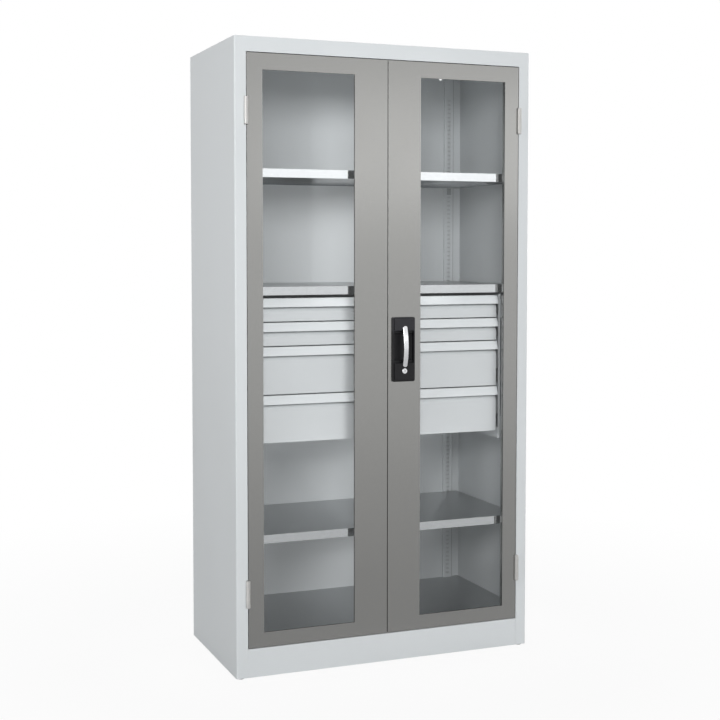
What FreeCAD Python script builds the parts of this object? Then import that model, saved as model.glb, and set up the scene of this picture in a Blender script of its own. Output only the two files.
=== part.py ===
import FreeCAD, Part
import math
import os

# Heavy-duty storage cabinet: a sheet-metal carcass with two glazed doors, three shelves on
# perforated uprights, and four drawers that hang below the middle shelf.
# Frame: the origin lies on the floor at the middle of the carcass, +X is right as seen from
# the front, the front faces -Y, +Z is up. All lengths are millimetres.

# Overall size
WIDTH = 1000.0
DEPTH = 500.0
HEIGHT = 1950.0

# Carcass
BODY_SHEET = 1.5
STILE_WIDTH = 37.0
TOP_RAIL_HEIGHT = 45.7
PLINTH_TOP = 92.3
REBATE_DEPTH = 25.0
STOP_WIDTH = 12.0
REAR_RETURN = 22.0
LID_REAR_FLANGE = 10.0
CORNER_RADIUS = 5.0
PLINTH_FOOT_RETURN = 20.0
PLINTH_END_EASE = 0.6
SILL_SHELF = 30.0
WALL_HOLE_RADIUS = 6.5
WALL_HOLE_SPACING = 840.0
WALL_HOLE_DROP = 27.0

# Feet
GLIDE_HEIGHT = 4.0
GLIDE_RADIUS = 13.0
GLIDE_CHAMFER = 1.2
GLIDE_STUD_RADIUS = 4.0
GLIDE_STUD_LENGTH = 12.0
CORNER_PLATE_DEPTH = 35.0

# Base deck and its side angles
DECK_EDGE = 25.7
DECK_SETBACK = 29.0
DECK_SIDE_GAP = 0.5
ANGLE_LEG = 20.0
ANGLE_SHORTER = 30.0

# Perforated uprights
UPRIGHT_WIDTH = 35.0
UPRIGHT_DEPTH = 9.0
UPRIGHT_SIDE_DEPTH = 10.0
UPRIGHT_SHEET = 1.5
FRONT_UPRIGHT_LENGTH = 1753.0
REAR_UPRIGHT_LID_GAP = 10.5
REAR_UPRIGHT_INSET = 30.5
FRONT_UPRIGHT_SETBACK = 35.0
SLOT_PITCH = 15.0
SLOT_WIDTH = 12.0
SLOT_HEIGHT = 6.0
FIRST_SLOT_RISE = 17.0

# Shelves and their clips
SHELF_SHEET = 1.2
SHELF_EDGE = 26.0
SHELF_SETBACK = 29.0
SHELF_SIDE_GAP = 1.5
SHELF_BACK_GAP = 1.0
SHELF_LIP = 14.0
SHELF_SLOT_NUMBERS = {"upper_shelf": 92, "middle_shelf": 68, "lower_shelf": 17}
CLIP_SHEET = 1.5
CLIP_RISE = 18.0
CLIP_WIDTH = 16.0
CLIP_LEDGE = 20.0
CLIP_TONGUE_LENGTH = 5.0
CLIP_TONGUE_PLAY = 0.8
CLIP_CLEARANCE = 2.0

# Doors
DOOR_SHEET = 1.2
DOOR_THICKNESS = 20.0
DOOR_GAP = 2.0
DOOR_BACK_RETURN = 15.0
DOOR_EDGE_RADIUS = 1.2
LOCK_STILE = 111.5
HINGE_STILE = 49.5
DOOR_TOP_RAIL = 49.9
DOOR_BOTTOM_RAIL = 45.8
PANE_THICKNESS = 3.0
PANE_LAP = 10.0
BEAD_WIDTH = 12.0
BEAD_THICKNESS = 2.0
HINGE_BEAD_THICKNESS = 11.0

# Hinges, two on each door
HINGE_LENGTH = 84.0
HINGE_RADIUS = 6.5
HINGE_AXIS_PROUD = 4.0
HINGE_PIN_RADIUS = 3.0
HINGE_PIN_PLAY = 0.05
HINGE_KNUCKLE_GAP = 0.4
HINGE_LEAF = 1.2
HINGE_LEAF_REACH = 22.0
HINGE_RELIEF = 0.8
HINGE_CHAMFER = 1.5
HINGE_INSET_TOP = 173.3
HINGE_INSET_BOTTOM = 168.7

# Handle plate on the right door
PLATE_WIDTH = 77.0
PLATE_HEIGHT = 204.2
PLATE_BASE = 8.0
PLATE_BLOCK = 6.0
PLATE_CORNER = 6.0
PLATE_EDGE_ROUND = 2.5
PLATE_EDGE_INSET = 13.0
PLATE_CENTRE_HEIGHT = 997.8
PLATE_RIM = 5.0
UPPER_BLOCK_HEIGHT = 43.0
LOWER_BLOCK_HEIGHT = 59.0
RECESS_FLOOR = 2.0
DISH_DEPTH = 7.0
DISH_WALL = 2.0
DISH_END_MARGIN = 8.0
DISH_ROUND = 5.0
DISH_CLEARANCE = 0.5

# Handle bow, which turns on a spindle in the upper block
BOW_LENGTH = 129.0
BOW_WIDTH = 16.0
BOW_THICKNESS = 9.0
BOW_END_PROUD = 18.0
BOW_MIDDLE_PROUD = 29.0
BOW_EDGE_ROUND = 3.6
BOW_TIP_RADIUS = 7.6
BOW_TOP_DROP = 27.9
BOW_GAP = 0.5
SPINDLE_DROP = 8.0
SPINDLE_RADIUS = 5.0
SPINDLE_PLAY = 0.05
SPINDLE_SKIN_PLAY = 1.0

# Rod lock behind the plate
CAM_RADIUS = 19.0
CAM_THICKNESS = 3.0
CAM_BEHIND_DISH = 1.0
CAM_PIN_CIRCLE = 13.3
CAM_PIN_RADIUS = 3.0
CAM_PIN_REST_DEG = -45.0
CAM_PIN_LENGTH = 4.6
ROD_WIDTH = 14.0
ROD_THICKNESS = 3.0
ROD_GAP = 1.0
ROD_FOOT_WIDTH = 20.0
ROD_FOOT_SIDE_GAP = 2.0
ROD_FOOT_BEYOND_PIN = 12.0
ROD_FOOT_REACH = 40.0
ROD_NECK_RISE = 28.0
ROD_SLOT_PLAY = 0.8
ROD_SLOT_END_PLAY = 0.6
ROD_HOLE_PLAY = 1.5
ROD_TIP_DRAWN_IN = 0.4
KEEPER_HEIGHT = 5.0
KEEPER_MARGIN = 8.0
LOCK_COVER_WIDTH = 61.0
LOCK_COVER_HEIGHT = 96.0
LOCK_COVER_SHEET = 1.5
LOCK_COVER_GAP = 1.0
GUIDE_HEIGHT = 18.0
GUIDE_SHEET = 1.4
GUIDE_PLAY = 0.6
GUIDE_INSETS = (110.0, 520.0)

# Key cylinder in the lower block
CYLINDER_RADIUS = 8.5
CYLINDER_PROUD = 2.0
CYLINDER_LENGTH = 21.0
CYLINDER_RISE = 34.3
PLUG_RADIUS = 6.0
PLUG_PLAY = 0.05
PLUG_PROUD = 0.4
KEY_SLOT_WIDTH = 1.6
KEY_SLOT_HEIGHT = 7.0
KEY_SLOT_DEPTH = 8.0
TONGUE_LENGTH = 22.0
TONGUE_WIDTH = 8.0
TONGUE_THICKNESS = 2.0
PLATE_SCREW_RADIUS = 2.0
PLATE_SCREW_HEAD_RADIUS = 4.0
PLATE_SCREW_HEAD = 2.4
PLATE_SCREW_LENGTH = 6.0
PLATE_SCREW_INSET = 11.0
SCREW_HOLE_PLAY = 0.15

# Drawers, numbered from the top
DRAWER_PITCHES = (75.0, 75.0, 150.0, 150.0)
DRAWER_OPENING_MARGIN = 56.5
DRAWER_GAP = 3.7
DRAWER_TOP_GAP = 10.0
DRAWER_FRONT_SETBACK = 41.0
DRAWER_SHEET = 1.5
GRIP_PROJECTION = 13.0
GRIP_TOP_PROJECTION = 4.0
GRIP_HEIGHT = 27.0
GRIP_BULGE = 1.6
SCOOP_DEPTH = 14.0
SCOOP_HEIGHT = 21.0
TRAY_SHEET = 1.2
TRAY_SIDE_GAP = 4.5
TRAY_LENGTH = 400.0
TRAY_TOP_DROP = 16.0
TRAY_RISE = 6.0

# Runners and the two carriers that hold them
CARRIER_GAP = 12.5
CARRIER_FLANGE = 7.5
CARRIER_SHEET = 2.0
CARRIER_SETBACK = 50.0
CARRIER_TOP_GAP = 5.0
CARRIER_BELOW = 28.0
CARRIER_FLANGE_MARGIN = 2.0
CARRIER_SCREW_STEPS = (2, 12, 22, 29)
CARRIER_SCREW_RADIUS = 2.6
CARRIER_SCREW_LENGTH = 8.0
CARRIER_SCREW_HEAD_RADIUS = 6.0
CARRIER_SCREW_HEAD = 3.2
BRACKET_HEIGHT = 60.0
BRACKET_END_GAP = 10.0
BRACKET_FLANGE = 30.0
RUNNER_SHEET = 1.5
RUNNER_HEIGHT = 46.0
RUNNER_LENGTH = 420.0
RUNNER_PLAY = 0.4
RUNNER_RISE = 9.0
RUNNER_MID_CLEARANCE = 1.0
RUNNER_OUTER_LIP = 13.5
RUNNER_MID_LIP = 10.5
RUNNER_INNER_TIP_GAP = 1.5
RUNNER_BEHIND_FLANGE = 1.0

# Planes and places that follow from the sizes above
FRONT = -DEPTH / 2
BACK = DEPTH / 2
SIDE = WIDTH / 2
SIDE_INNER = SIDE - BODY_SHEET
BODY_TOP = HEIGHT - BODY_SHEET
BACK_PANEL_FACE = BACK - 2 * BODY_SHEET
OPENING_SIDE = SIDE - STILE_WIDTH
OPENING_TOP = HEIGHT - TOP_RAIL_HEIGHT
REBATE = FRONT + REBATE_DEPTH
STOP_EDGE = OPENING_SIDE - STOP_WIDTH
DECK_TOP = PLINTH_TOP + DECK_EDGE
DECK_FRONT = FRONT + DECK_SETBACK

REAR_UPRIGHT_FACE = BACK_PANEL_FACE - UPRIGHT_DEPTH
REAR_UPRIGHT_CENTRE = SIDE_INNER - REAR_UPRIGHT_INSET - UPRIGHT_WIDTH / 2
FRONT_UPRIGHT_FACE = SIDE_INNER - UPRIGHT_SIDE_DEPTH
FRONT_UPRIGHT_CENTRE = FRONT + FRONT_UPRIGHT_SETBACK + UPRIGHT_WIDTH / 2
FRONT_UPRIGHT_TOP = DECK_TOP + FRONT_UPRIGHT_LENGTH
REAR_UPRIGHT_TOP = BODY_TOP - REAR_UPRIGHT_LID_GAP
FIRST_SLOT = DECK_TOP + FIRST_SLOT_RISE
SLOT_COUNT = int((FRONT_UPRIGHT_LENGTH - 2 * FIRST_SLOT_RISE) // SLOT_PITCH) + 1

SHELF_SIDE = FRONT_UPRIGHT_FACE - SHELF_SIDE_GAP
SHELF_FRONT = FRONT + SHELF_SETBACK
SHELF_BACK = REAR_UPRIGHT_FACE - SHELF_BACK_GAP

DOOR_IN = DOOR_GAP / 2
DOOR_OUT = OPENING_SIDE - DOOR_GAP
DOOR_BOTTOM = PLINTH_TOP + DOOR_GAP
DOOR_TOP = OPENING_TOP - DOOR_GAP
DOOR_SKIN_BACK = FRONT + DOOR_SHEET
DOOR_BACK = FRONT + DOOR_THICKNESS
WINDOW_IN = DOOR_IN + LOCK_STILE
WINDOW_OUT = DOOR_OUT - HINGE_STILE
WINDOW_BOTTOM = DOOR_BOTTOM + DOOR_BOTTOM_RAIL
WINDOW_TOP = DOOR_TOP - DOOR_TOP_RAIL
PANE_FRONT = DOOR_SKIN_BACK
PANE_BACK = PANE_FRONT + PANE_THICKNESS

HINGE_Y = FRONT - HINGE_AXIS_PROUD
HINGE_HEIGHTS = (DOOR_BOTTOM + HINGE_INSET_BOTTOM, DOOR_TOP - HINGE_INSET_TOP)
KNUCKLE = (HINGE_LENGTH - HINGE_KNUCKLE_GAP) / 2

PLATE_LEFT = DOOR_IN + PLATE_EDGE_INSET
PLATE_RIGHT = PLATE_LEFT + PLATE_WIDTH
PLATE_MIDDLE = (PLATE_LEFT + PLATE_RIGHT) / 2
PLATE_BOTTOM = PLATE_CENTRE_HEIGHT - PLATE_HEIGHT / 2
PLATE_TOP = PLATE_BOTTOM + PLATE_HEIGHT
PLATE_FACE = FRONT - PLATE_BASE
BLOCK_FACE = PLATE_FACE - PLATE_BLOCK
RECESS_BOTTOM = PLATE_BOTTOM + LOWER_BLOCK_HEIGHT
RECESS_TOP = PLATE_TOP - UPPER_BLOCK_HEIGHT
DISH_FLOOR = FRONT + DISH_DEPTH
DISH_BACK = DISH_FLOOR + DISH_WALL
DISH_LEFT = PLATE_LEFT + PLATE_RIM
DISH_RIGHT = PLATE_RIGHT - PLATE_RIM
DISH_BOTTOM = RECESS_BOTTOM + DISH_END_MARGIN
DISH_TOP = RECESS_TOP - DISH_END_MARGIN
BOW_TOP = PLATE_TOP - BOW_TOP_DROP
BOW_BOTTOM = BOW_TOP - BOW_LENGTH
SPINDLE_HEIGHT = BOW_TOP - SPINDLE_DROP
CAM_FRONT = DISH_BACK + CAM_BEHIND_DISH
CAM_BACK = CAM_FRONT + CAM_THICKNESS
ROD_FRONT = CAM_BACK + ROD_GAP
ROD_BACK = ROD_FRONT + ROD_THICKNESS
CYLINDER_HEIGHT = PLATE_BOTTOM + CYLINDER_RISE
CYLINDER_FACE = BLOCK_FACE - CYLINDER_PROUD

SHELF_BOTTOMS = {
    name: FIRST_SLOT + SLOT_PITCH * number + CLIP_RISE
    for name, number in SHELF_SLOT_NUMBERS.items()
}
DRAWERS_TOP = SHELF_BOTTOMS["middle_shelf"] - DRAWER_TOP_GAP
DRAWER_SIDE = OPENING_SIDE - DRAWER_OPENING_MARGIN
DRAWER_FACE = FRONT + DRAWER_FRONT_SETBACK
TRAY_FRONT = DRAWER_FACE + SCOOP_DEPTH + DRAWER_SHEET
TRAY_SIDE = DRAWER_SIDE - TRAY_SIDE_GAP
CARRIER_LIP = DRAWER_SIDE + CARRIER_GAP
CARRIER_OUT = CARRIER_LIP + CARRIER_FLANGE
CARRIER_IN = CARRIER_OUT - CARRIER_SHEET
CARRIER_FRONT = FRONT + CARRIER_SETBACK
CARRIER_TOP = SHELF_BOTTOMS["middle_shelf"] - CARRIER_TOP_GAP
CARRIER_FLANGE_TOP = SHELF_BOTTOMS["middle_shelf"] - CLIP_RISE - SLOT_HEIGHT - CLIP_CLEARANCE
CARRIER_BOTTOM = DRAWERS_TOP - sum(DRAWER_PITCHES) - CARRIER_BELOW + DRAWER_GAP
RUNNER_FRONT = CARRIER_FRONT + CARRIER_SHEET + RUNNER_BEHIND_FLANGE
RUNNER_BACK = RUNNER_FRONT + RUNNER_LENGTH

# Tolerance for finding edges, and how far a cutter runs past the sheet it goes through
NEAR = 1e-4
PAST = 1.0


def block(x0, x1, y0, y1, z0, z1):
    """Box between two corners, which may come in either order."""
    low = FreeCAD.Vector(min(x0, x1), min(y0, y1), min(z0, z1))
    return Part.makeBox(abs(x1 - x0), abs(y1 - y0), abs(z1 - z0), low)


def disc_z(radius, x, y, z0, z1):
    """Upright cylinder."""
    return Part.makeCylinder(radius, z1 - z0, FreeCAD.Vector(x, y, z0))


def disc_y(radius, x, z, y0, y1):
    """Cylinder along Y."""
    return Part.makeCylinder(radius, y1 - y0, FreeCAD.Vector(x, y0, z), FreeCAD.Vector(0, 1, 0))


def union(shapes):
    """One solid from shapes that touch or overlap."""
    return shapes[0].fuse(shapes[1:]).removeSplitter()


def mirrored(shape):
    """The same piece on the other side of the cabinet."""
    return shape.mirror(FreeCAD.Vector(0, 0, 0), FreeCAD.Vector(1, 0, 0))


def both_sides(shapes):
    """Right-hand pieces followed by their left-hand twins."""
    return shapes + [mirrored(shape) for shape in shapes]


def sheet_outline(path, sheet):
    """Closed outline of a sheet that lies to the left of an open path with square bends."""
    inner = []
    for i, point in enumerate(path):
        legs = [(path[j], path[j + 1]) for j in (i - 1, i) if 0 <= j < len(path) - 1]
        offset = [0.0, 0.0]
        for start, end in legs:
            length = math.hypot(end[0] - start[0], end[1] - start[1])
            offset[0] -= (end[1] - start[1]) / length * sheet
            offset[1] += (end[0] - start[0]) / length * sheet
        inner.append((point[0] + offset[0], point[1] + offset[1]))
    return list(path) + inner[::-1]


def folded_along_z(path, sheet, z0, z1):
    """Folded sheet with its section drawn in X and Y."""
    outline = [FreeCAD.Vector(x, y, z0) for x, y in sheet_outline(path, sheet)]
    wire = Part.makePolygon(outline + outline[:1])
    return Part.Face(wire).extrude(FreeCAD.Vector(0, 0, z1 - z0))


def section_along_x(edges, x0, x1):
    """Solid from a closed section drawn in Y and Z at x = 0."""
    face = Part.Face(Part.Wire(Part.__sortEdges__(edges)))
    face.translate(FreeCAD.Vector(x0, 0, 0))
    return face.extrude(FreeCAD.Vector(x1 - x0, 0, 0))


def edges_at(shape, direction, place):
    """Straight edges along a direction whose middle has the given coordinates."""
    found = []
    for edge in shape.Edges:
        if edge.Curve.TypeId != "Part::GeomLine":
            continue
        ends = [vertex.Point for vertex in edge.Vertexes]
        along = (ends[1] - ends[0]).normalize()
        if abs(abs(along.dot(direction)) - 1) > NEAR:
            continue
        middle = (ends[0] + ends[1]) * 0.5
        if all(abs(getattr(middle, axis) - value) < NEAR for axis, value in place.items()):
            found.append(edge)
    return found


UP = FreeCAD.Vector(0, 0, 1)
ACROSS = FreeCAD.Vector(1, 0, 0)
INTO = FreeCAD.Vector(0, 1, 0)


def hinge_places():
    """Lower end of every hinge barrel on one door."""
    return [height - HINGE_LENGTH / 2 for height in HINGE_HEIGHTS]


def hinge_reliefs():
    """Space that the right-hand hinge barrels need in the sheets beside them."""
    radius = HINGE_RADIUS + HINGE_RELIEF
    return [
        disc_z(radius, OPENING_SIDE, HINGE_Y, z - HINGE_RELIEF, z + HINGE_LENGTH + HINGE_RELIEF)
        for z in hinge_places()
    ]


def side_panel():
    """Right side: stop, rebate, front stile, side wall and rear return from one sheet."""
    path = [
        (STOP_EDGE, REBATE),
        (OPENING_SIDE, REBATE),
        (OPENING_SIDE, FRONT),
        (SIDE, FRONT),
        (SIDE, BACK),
        (SIDE - REAR_RETURN, BACK),
    ]
    panel = folded_along_z(path, BODY_SHEET, GLIDE_HEIGHT, BODY_TOP)
    panel = panel.makeFillet(CORNER_RADIUS, edges_at(panel, UP, {"x": SIDE, "y": FRONT}))
    bend = {"x": SIDE_INNER, "y": FRONT + BODY_SHEET}
    panel = panel.makeFillet(CORNER_RADIUS - BODY_SHEET, edges_at(panel, UP, bend))
    return panel.cut(hinge_reliefs())


def top_panel():
    """Lid with the front rail, its return, a door stop and a rear flange."""
    lid = block(-SIDE, SIDE, FRONT, BACK, BODY_TOP, HEIGHT)
    corners = edges_at(lid, UP, {"x": SIDE, "y": FRONT}) + edges_at(lid, UP, {"x": -SIDE, "y": FRONT})
    lid = lid.makeFillet(CORNER_RADIUS, corners)
    rail_side = OPENING_SIDE
    flange_side = SIDE - REAR_RETURN
    panel = union([
        lid,
        block(-rail_side, rail_side, FRONT, FRONT + BODY_SHEET, OPENING_TOP, BODY_TOP),
        block(-rail_side, rail_side, FRONT, REBATE, OPENING_TOP, OPENING_TOP + BODY_SHEET),
        block(-STOP_EDGE, STOP_EDGE, REBATE, REBATE + BODY_SHEET,
              OPENING_TOP - STOP_WIDTH, OPENING_TOP + BODY_SHEET),
        block(-flange_side, flange_side, BACK - BODY_SHEET, BACK,
              BODY_TOP - LID_REAR_FLANGE, BODY_TOP),
    ])
    return panel.cut(rod_hole(OPENING_TOP, OPENING_TOP + BODY_SHEET))


def back_panel():
    """Rear wall with two holes for fixing the cabinet to a wall."""
    sheet = block(-SIDE_INNER, SIDE_INNER, BACK_PANEL_FACE, BACK - BODY_SHEET, GLIDE_HEIGHT, BODY_TOP)
    height = HEIGHT - WALL_HOLE_DROP
    holes = [
        disc_y(WALL_HOLE_RADIUS, x, height, BACK_PANEL_FACE - PAST, BACK)
        for x in (-WALL_HOLE_SPACING / 2, WALL_HOLE_SPACING / 2)
    ]
    return sheet.cut(holes)


def plinth():
    """Front plinth with its sill, which also carries the base deck."""
    low = GLIDE_HEIGHT
    sill = PLINTH_TOP - BODY_SHEET
    side = OPENING_SIDE
    face = block(-side, side, FRONT, FRONT + BODY_SHEET, low, PLINTH_TOP)
    ends = edges_at(face, UP, {"x": side, "y": FRONT}) + edges_at(face, UP, {"x": -side, "y": FRONT})
    panel = union([
        face.makeChamfer(PLINTH_END_EASE, ends),
        block(-side, side, FRONT + BODY_SHEET, FRONT + PLINTH_FOOT_RETURN, low, low + BODY_SHEET),
        block(-side, side, FRONT + BODY_SHEET, REBATE, sill, PLINTH_TOP),
        block(-STOP_EDGE, STOP_EDGE, REBATE, REBATE + SILL_SHELF, sill, PLINTH_TOP),
    ])
    return panel.cut(rod_hole(sill, PLINTH_TOP))


def pan(side, front, back, bottom, top, sheet):
    """Tray turned upside down: a flat sheet with all four edges folded down."""
    outer = block(-side, side, front, back, bottom, top)
    hollow = block(-side + sheet, side - sheet, front + sheet, back - sheet, bottom, top - sheet)
    return outer.cut(hollow)


def base_deck():
    """Floor of the lowest compartment."""
    return pan(SIDE_INNER - DECK_SIDE_GAP, DECK_FRONT, BACK_PANEL_FACE - DECK_SIDE_GAP,
               PLINTH_TOP, DECK_TOP, BODY_SHEET)


def deck_angles():
    """Angles on the side walls that carry the deck's edges."""
    start = DECK_FRONT + ANGLE_SHORTER
    end = BACK_PANEL_FACE - ANGLE_SHORTER
    inner = SIDE_INNER - ANGLE_LEG
    angle = union([
        block(SIDE_INNER - BODY_SHEET, SIDE_INNER, start, end, PLINTH_TOP - ANGLE_LEG, PLINTH_TOP),
        block(inner, SIDE_INNER, start, end, PLINTH_TOP - BODY_SHEET, PLINTH_TOP),
    ])
    return both_sides([angle])


def glide_places():
    """Middle of each right-hand corner plate: front, then rear."""
    x = (OPENING_SIDE + BODY_SHEET + SIDE_INNER) / 2
    front = FRONT + BODY_SHEET + CORNER_PLATE_DEPTH / 2
    rear = BACK_PANEL_FACE - CORNER_PLATE_DEPTH / 2
    return [(x, front), (x, rear)]


def corner_plates():
    """Plates across the four bottom corners that hold the glides."""
    plates = []
    for x, y in glide_places():
        plate = block(OPENING_SIDE + BODY_SHEET, SIDE_INNER - CORNER_RADIUS,
                      y - CORNER_PLATE_DEPTH / 2, y + CORNER_PLATE_DEPTH / 2,
                      GLIDE_HEIGHT, GLIDE_HEIGHT + BODY_SHEET)
        hole = disc_z(GLIDE_STUD_RADIUS + SCREW_HOLE_PLAY, x, y, 0, GLIDE_HEIGHT + BODY_SHEET)
        plates.append(plate.cut(hole))
    return both_sides(plates)


def floor_glides():
    """Feet with a stud up through each corner plate."""
    glides = []
    for x, y in glide_places():
        foot = disc_z(GLIDE_RADIUS, x, y, 0, GLIDE_HEIGHT)
        rim = [edge for edge in foot.Edges if edge.BoundBox.ZMax < NEAR]
        foot = foot.makeChamfer(GLIDE_CHAMFER, rim)
        stud = disc_z(GLIDE_STUD_RADIUS, x, y, GLIDE_HEIGHT, GLIDE_HEIGHT + GLIDE_STUD_LENGTH)
        glides.append(union([foot, stud]))
    return both_sides(glides)


def slot_height(number):
    """Height of the middle of an upright's slot, counted from the lowest."""
    return FIRST_SLOT + SLOT_PITCH * number


def rear_upright():
    """Right rear upright: a channel on the back wall with slots facing forward."""
    left = REAR_UPRIGHT_CENTRE - UPRIGHT_WIDTH / 2
    right = REAR_UPRIGHT_CENTRE + UPRIGHT_WIDTH / 2
    face = REAR_UPRIGHT_FACE
    path = [(left, BACK_PANEL_FACE), (left, face), (right, face), (right, BACK_PANEL_FACE)]
    channel = folded_along_z(path, UPRIGHT_SHEET, DECK_TOP, REAR_UPRIGHT_TOP)
    half = SLOT_WIDTH / 2
    slots = []
    for number in range(SLOT_COUNT):
        z = slot_height(number)
        slots.append(block(REAR_UPRIGHT_CENTRE - half, REAR_UPRIGHT_CENTRE + half,
                           face - PAST, face + UPRIGHT_SHEET + PAST,
                           z - SLOT_HEIGHT / 2, z + SLOT_HEIGHT / 2))
    return channel.cut(Part.makeCompound(slots)).Solids[0]


def front_upright():
    """Right front upright: a channel on the side wall with slots facing inward."""
    near = FRONT_UPRIGHT_CENTRE - UPRIGHT_WIDTH / 2
    far = FRONT_UPRIGHT_CENTRE + UPRIGHT_WIDTH / 2
    face = FRONT_UPRIGHT_FACE
    path = [(SIDE_INNER, far), (face, far), (face, near), (SIDE_INNER, near)]
    channel = folded_along_z(path, UPRIGHT_SHEET, DECK_TOP, FRONT_UPRIGHT_TOP)
    half = SLOT_WIDTH / 2
    slots = []
    for number in range(SLOT_COUNT):
        z = slot_height(number)
        slots.append(block(face - PAST, face + UPRIGHT_SHEET + PAST,
                           FRONT_UPRIGHT_CENTRE - half, FRONT_UPRIGHT_CENTRE + half,
                           z - SLOT_HEIGHT / 2, z + SLOT_HEIGHT / 2))
    return channel.cut(Part.makeCompound(slots)).Solids[0]


def shelf(bottom):
    """Shelf with folded edges and a stiffening lip behind the front edge."""
    board = pan(SHELF_SIDE, SHELF_FRONT, SHELF_BACK, bottom, bottom + SHELF_EDGE, SHELF_SHEET)
    lip_side = SHELF_SIDE - SHELF_SHEET
    lip = block(-lip_side, lip_side, SHELF_FRONT, SHELF_FRONT + SHELF_LIP, bottom, bottom + SHELF_SHEET)
    return union([board, lip])


def shelf_clips():
    """Four clips under each shelf: a tongue in a slot, a back plate and a ledge."""
    tongue_half = SLOT_WIDTH / 2 - CLIP_TONGUE_PLAY
    tongue_rise = SLOT_HEIGHT / 2 - CLIP_TONGUE_PLAY
    half = CLIP_WIDTH / 2
    clips = []
    for bottom in SHELF_BOTTOMS.values():
        slot = bottom - CLIP_RISE
        foot = slot - SLOT_HEIGHT
        face = REAR_UPRIGHT_FACE
        x = REAR_UPRIGHT_CENTRE
        clips.append(union([
            block(x - half, x + half, face - CLIP_SHEET, face, foot, bottom),
            block(x - half, x + half, face - CLIP_LEDGE, face, bottom - CLIP_SHEET, bottom),
            block(x - tongue_half, x + tongue_half, face, face + CLIP_TONGUE_LENGTH,
                  slot - tongue_rise, slot + tongue_rise),
        ]))
        face = FRONT_UPRIGHT_FACE
        y = FRONT_UPRIGHT_CENTRE
        clips.append(union([
            block(face - CLIP_SHEET, face, y - half, y + half, foot, bottom),
            block(face - CLIP_LEDGE, face, y - half, y + half, bottom - CLIP_SHEET, bottom),
            block(face, face + CLIP_TONGUE_LENGTH, y - tongue_half, y + tongue_half,
                  slot - tongue_rise, slot + tongue_rise),
        ]))
    return both_sides(clips)


def door_pan():
    """Right door leaf: a folded pan with a window cut through its skin."""
    outer = block(DOOR_IN, DOOR_OUT, FRONT, DOOR_BACK, DOOR_BOTTOM, DOOR_TOP)
    rim = []
    for x in (DOOR_IN, DOOR_OUT):
        rim += edges_at(outer, UP, {"x": x, "y": FRONT})
    for z in (DOOR_BOTTOM, DOOR_TOP):
        rim += edges_at(outer, ACROSS, {"y": FRONT, "z": z})
    outer = outer.makeFillet(DOOR_EDGE_RADIUS, rim)
    s = DOOR_SHEET
    r = DOOR_BACK_RETURN
    hollow = block(DOOR_IN + s, DOOR_OUT - s, DOOR_SKIN_BACK, DOOR_BACK - s, DOOR_BOTTOM + s, DOOR_TOP - s)
    mouth = block(DOOR_IN + r, DOOR_OUT - r, DOOR_BACK - s, DOOR_BACK, DOOR_BOTTOM + r, DOOR_TOP - r)
    window = block(WINDOW_IN, WINDOW_OUT, FRONT, DOOR_SKIN_BACK, WINDOW_BOTTOM, WINDOW_TOP)
    return outer.cut([hollow, mouth, window] + hinge_reliefs())


def right_door_skin():
    """The leaf with openings for the handle plate, its spindle, the cylinder and the rods."""
    c = DISH_CLEARANCE
    wall = DISH_WALL
    cuts = [
        block(DISH_LEFT - wall - c, DISH_RIGHT + wall + c, FRONT, DOOR_SKIN_BACK,
              DISH_BOTTOM - wall - c, DISH_TOP + wall + c),
        disc_y(SPINDLE_RADIUS + SPINDLE_SKIN_PLAY, PLATE_MIDDLE, SPINDLE_HEIGHT, FRONT, DOOR_SKIN_BACK),
        disc_y(CYLINDER_RADIUS + DISH_CLEARANCE, PLATE_MIDDLE, CYLINDER_HEIGHT, FRONT, DOOR_SKIN_BACK),
    ]
    cuts += [rod_hole(z, z + DOOR_SHEET) for z in (DOOR_BOTTOM, DOOR_TOP - DOOR_SHEET)]
    radius = PLATE_SCREW_RADIUS + SCREW_HOLE_PLAY
    cuts += [disc_y(radius, x, z, FRONT, DOOR_SKIN_BACK) for x, z in plate_screw_places()]
    return door_pan().cut(cuts)


def pane():
    """Clear pane that lies against the back of the right door's skin."""
    return block(WINDOW_IN - PANE_LAP, WINDOW_OUT + PANE_LAP, PANE_FRONT, PANE_BACK,
                 WINDOW_BOTTOM - PANE_LAP, WINDOW_TOP + PANE_LAP)


def glazing_beads():
    """Four strips that hold the right door's pane: the one beside the hinges is a deep bar."""
    y0 = PANE_BACK
    y1 = PANE_BACK + BEAD_THICKNESS
    bar = PANE_BACK + HINGE_BEAD_THICKNESS
    w = BEAD_WIDTH
    left = WINDOW_IN - w
    right = WINDOW_OUT + w
    return [
        block(left, WINDOW_IN, y0, y1, WINDOW_BOTTOM - w, WINDOW_TOP + w),
        block(WINDOW_OUT, right, y0, bar, WINDOW_BOTTOM - w, WINDOW_TOP + w),
        block(WINDOW_IN, WINDOW_OUT, y0, y1, WINDOW_BOTTOM - w, WINDOW_BOTTOM),
        block(WINDOW_IN, WINDOW_OUT, y0, y1, WINDOW_TOP, WINDOW_TOP + w),
    ]


def knuckle(z, free_end, leaf_x):
    """One hinge knuckle with its leaf, bored for the pin and chamfered at its free end."""
    barrel = disc_z(HINGE_RADIUS, OPENING_SIDE, HINGE_Y, z, z + KNUCKLE)
    rim = [edge for edge in barrel.Edges if abs(edge.BoundBox.ZMin - free_end) + edge.BoundBox.ZLength < NEAR]
    barrel = barrel.makeChamfer(HINGE_CHAMFER, rim)
    wall = (HINGE_RADIUS + HINGE_PIN_RADIUS) / 2
    leaf = block(leaf_x, leaf_x + HINGE_LEAF, HINGE_Y + wall, HINGE_Y + HINGE_LEAF_REACH, z, z + KNUCKLE)
    bore = disc_z(HINGE_PIN_RADIUS + HINGE_PIN_PLAY, OPENING_SIDE, HINGE_Y, z, z + KNUCKLE)
    return union([barrel, leaf]).cut(bore)


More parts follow.
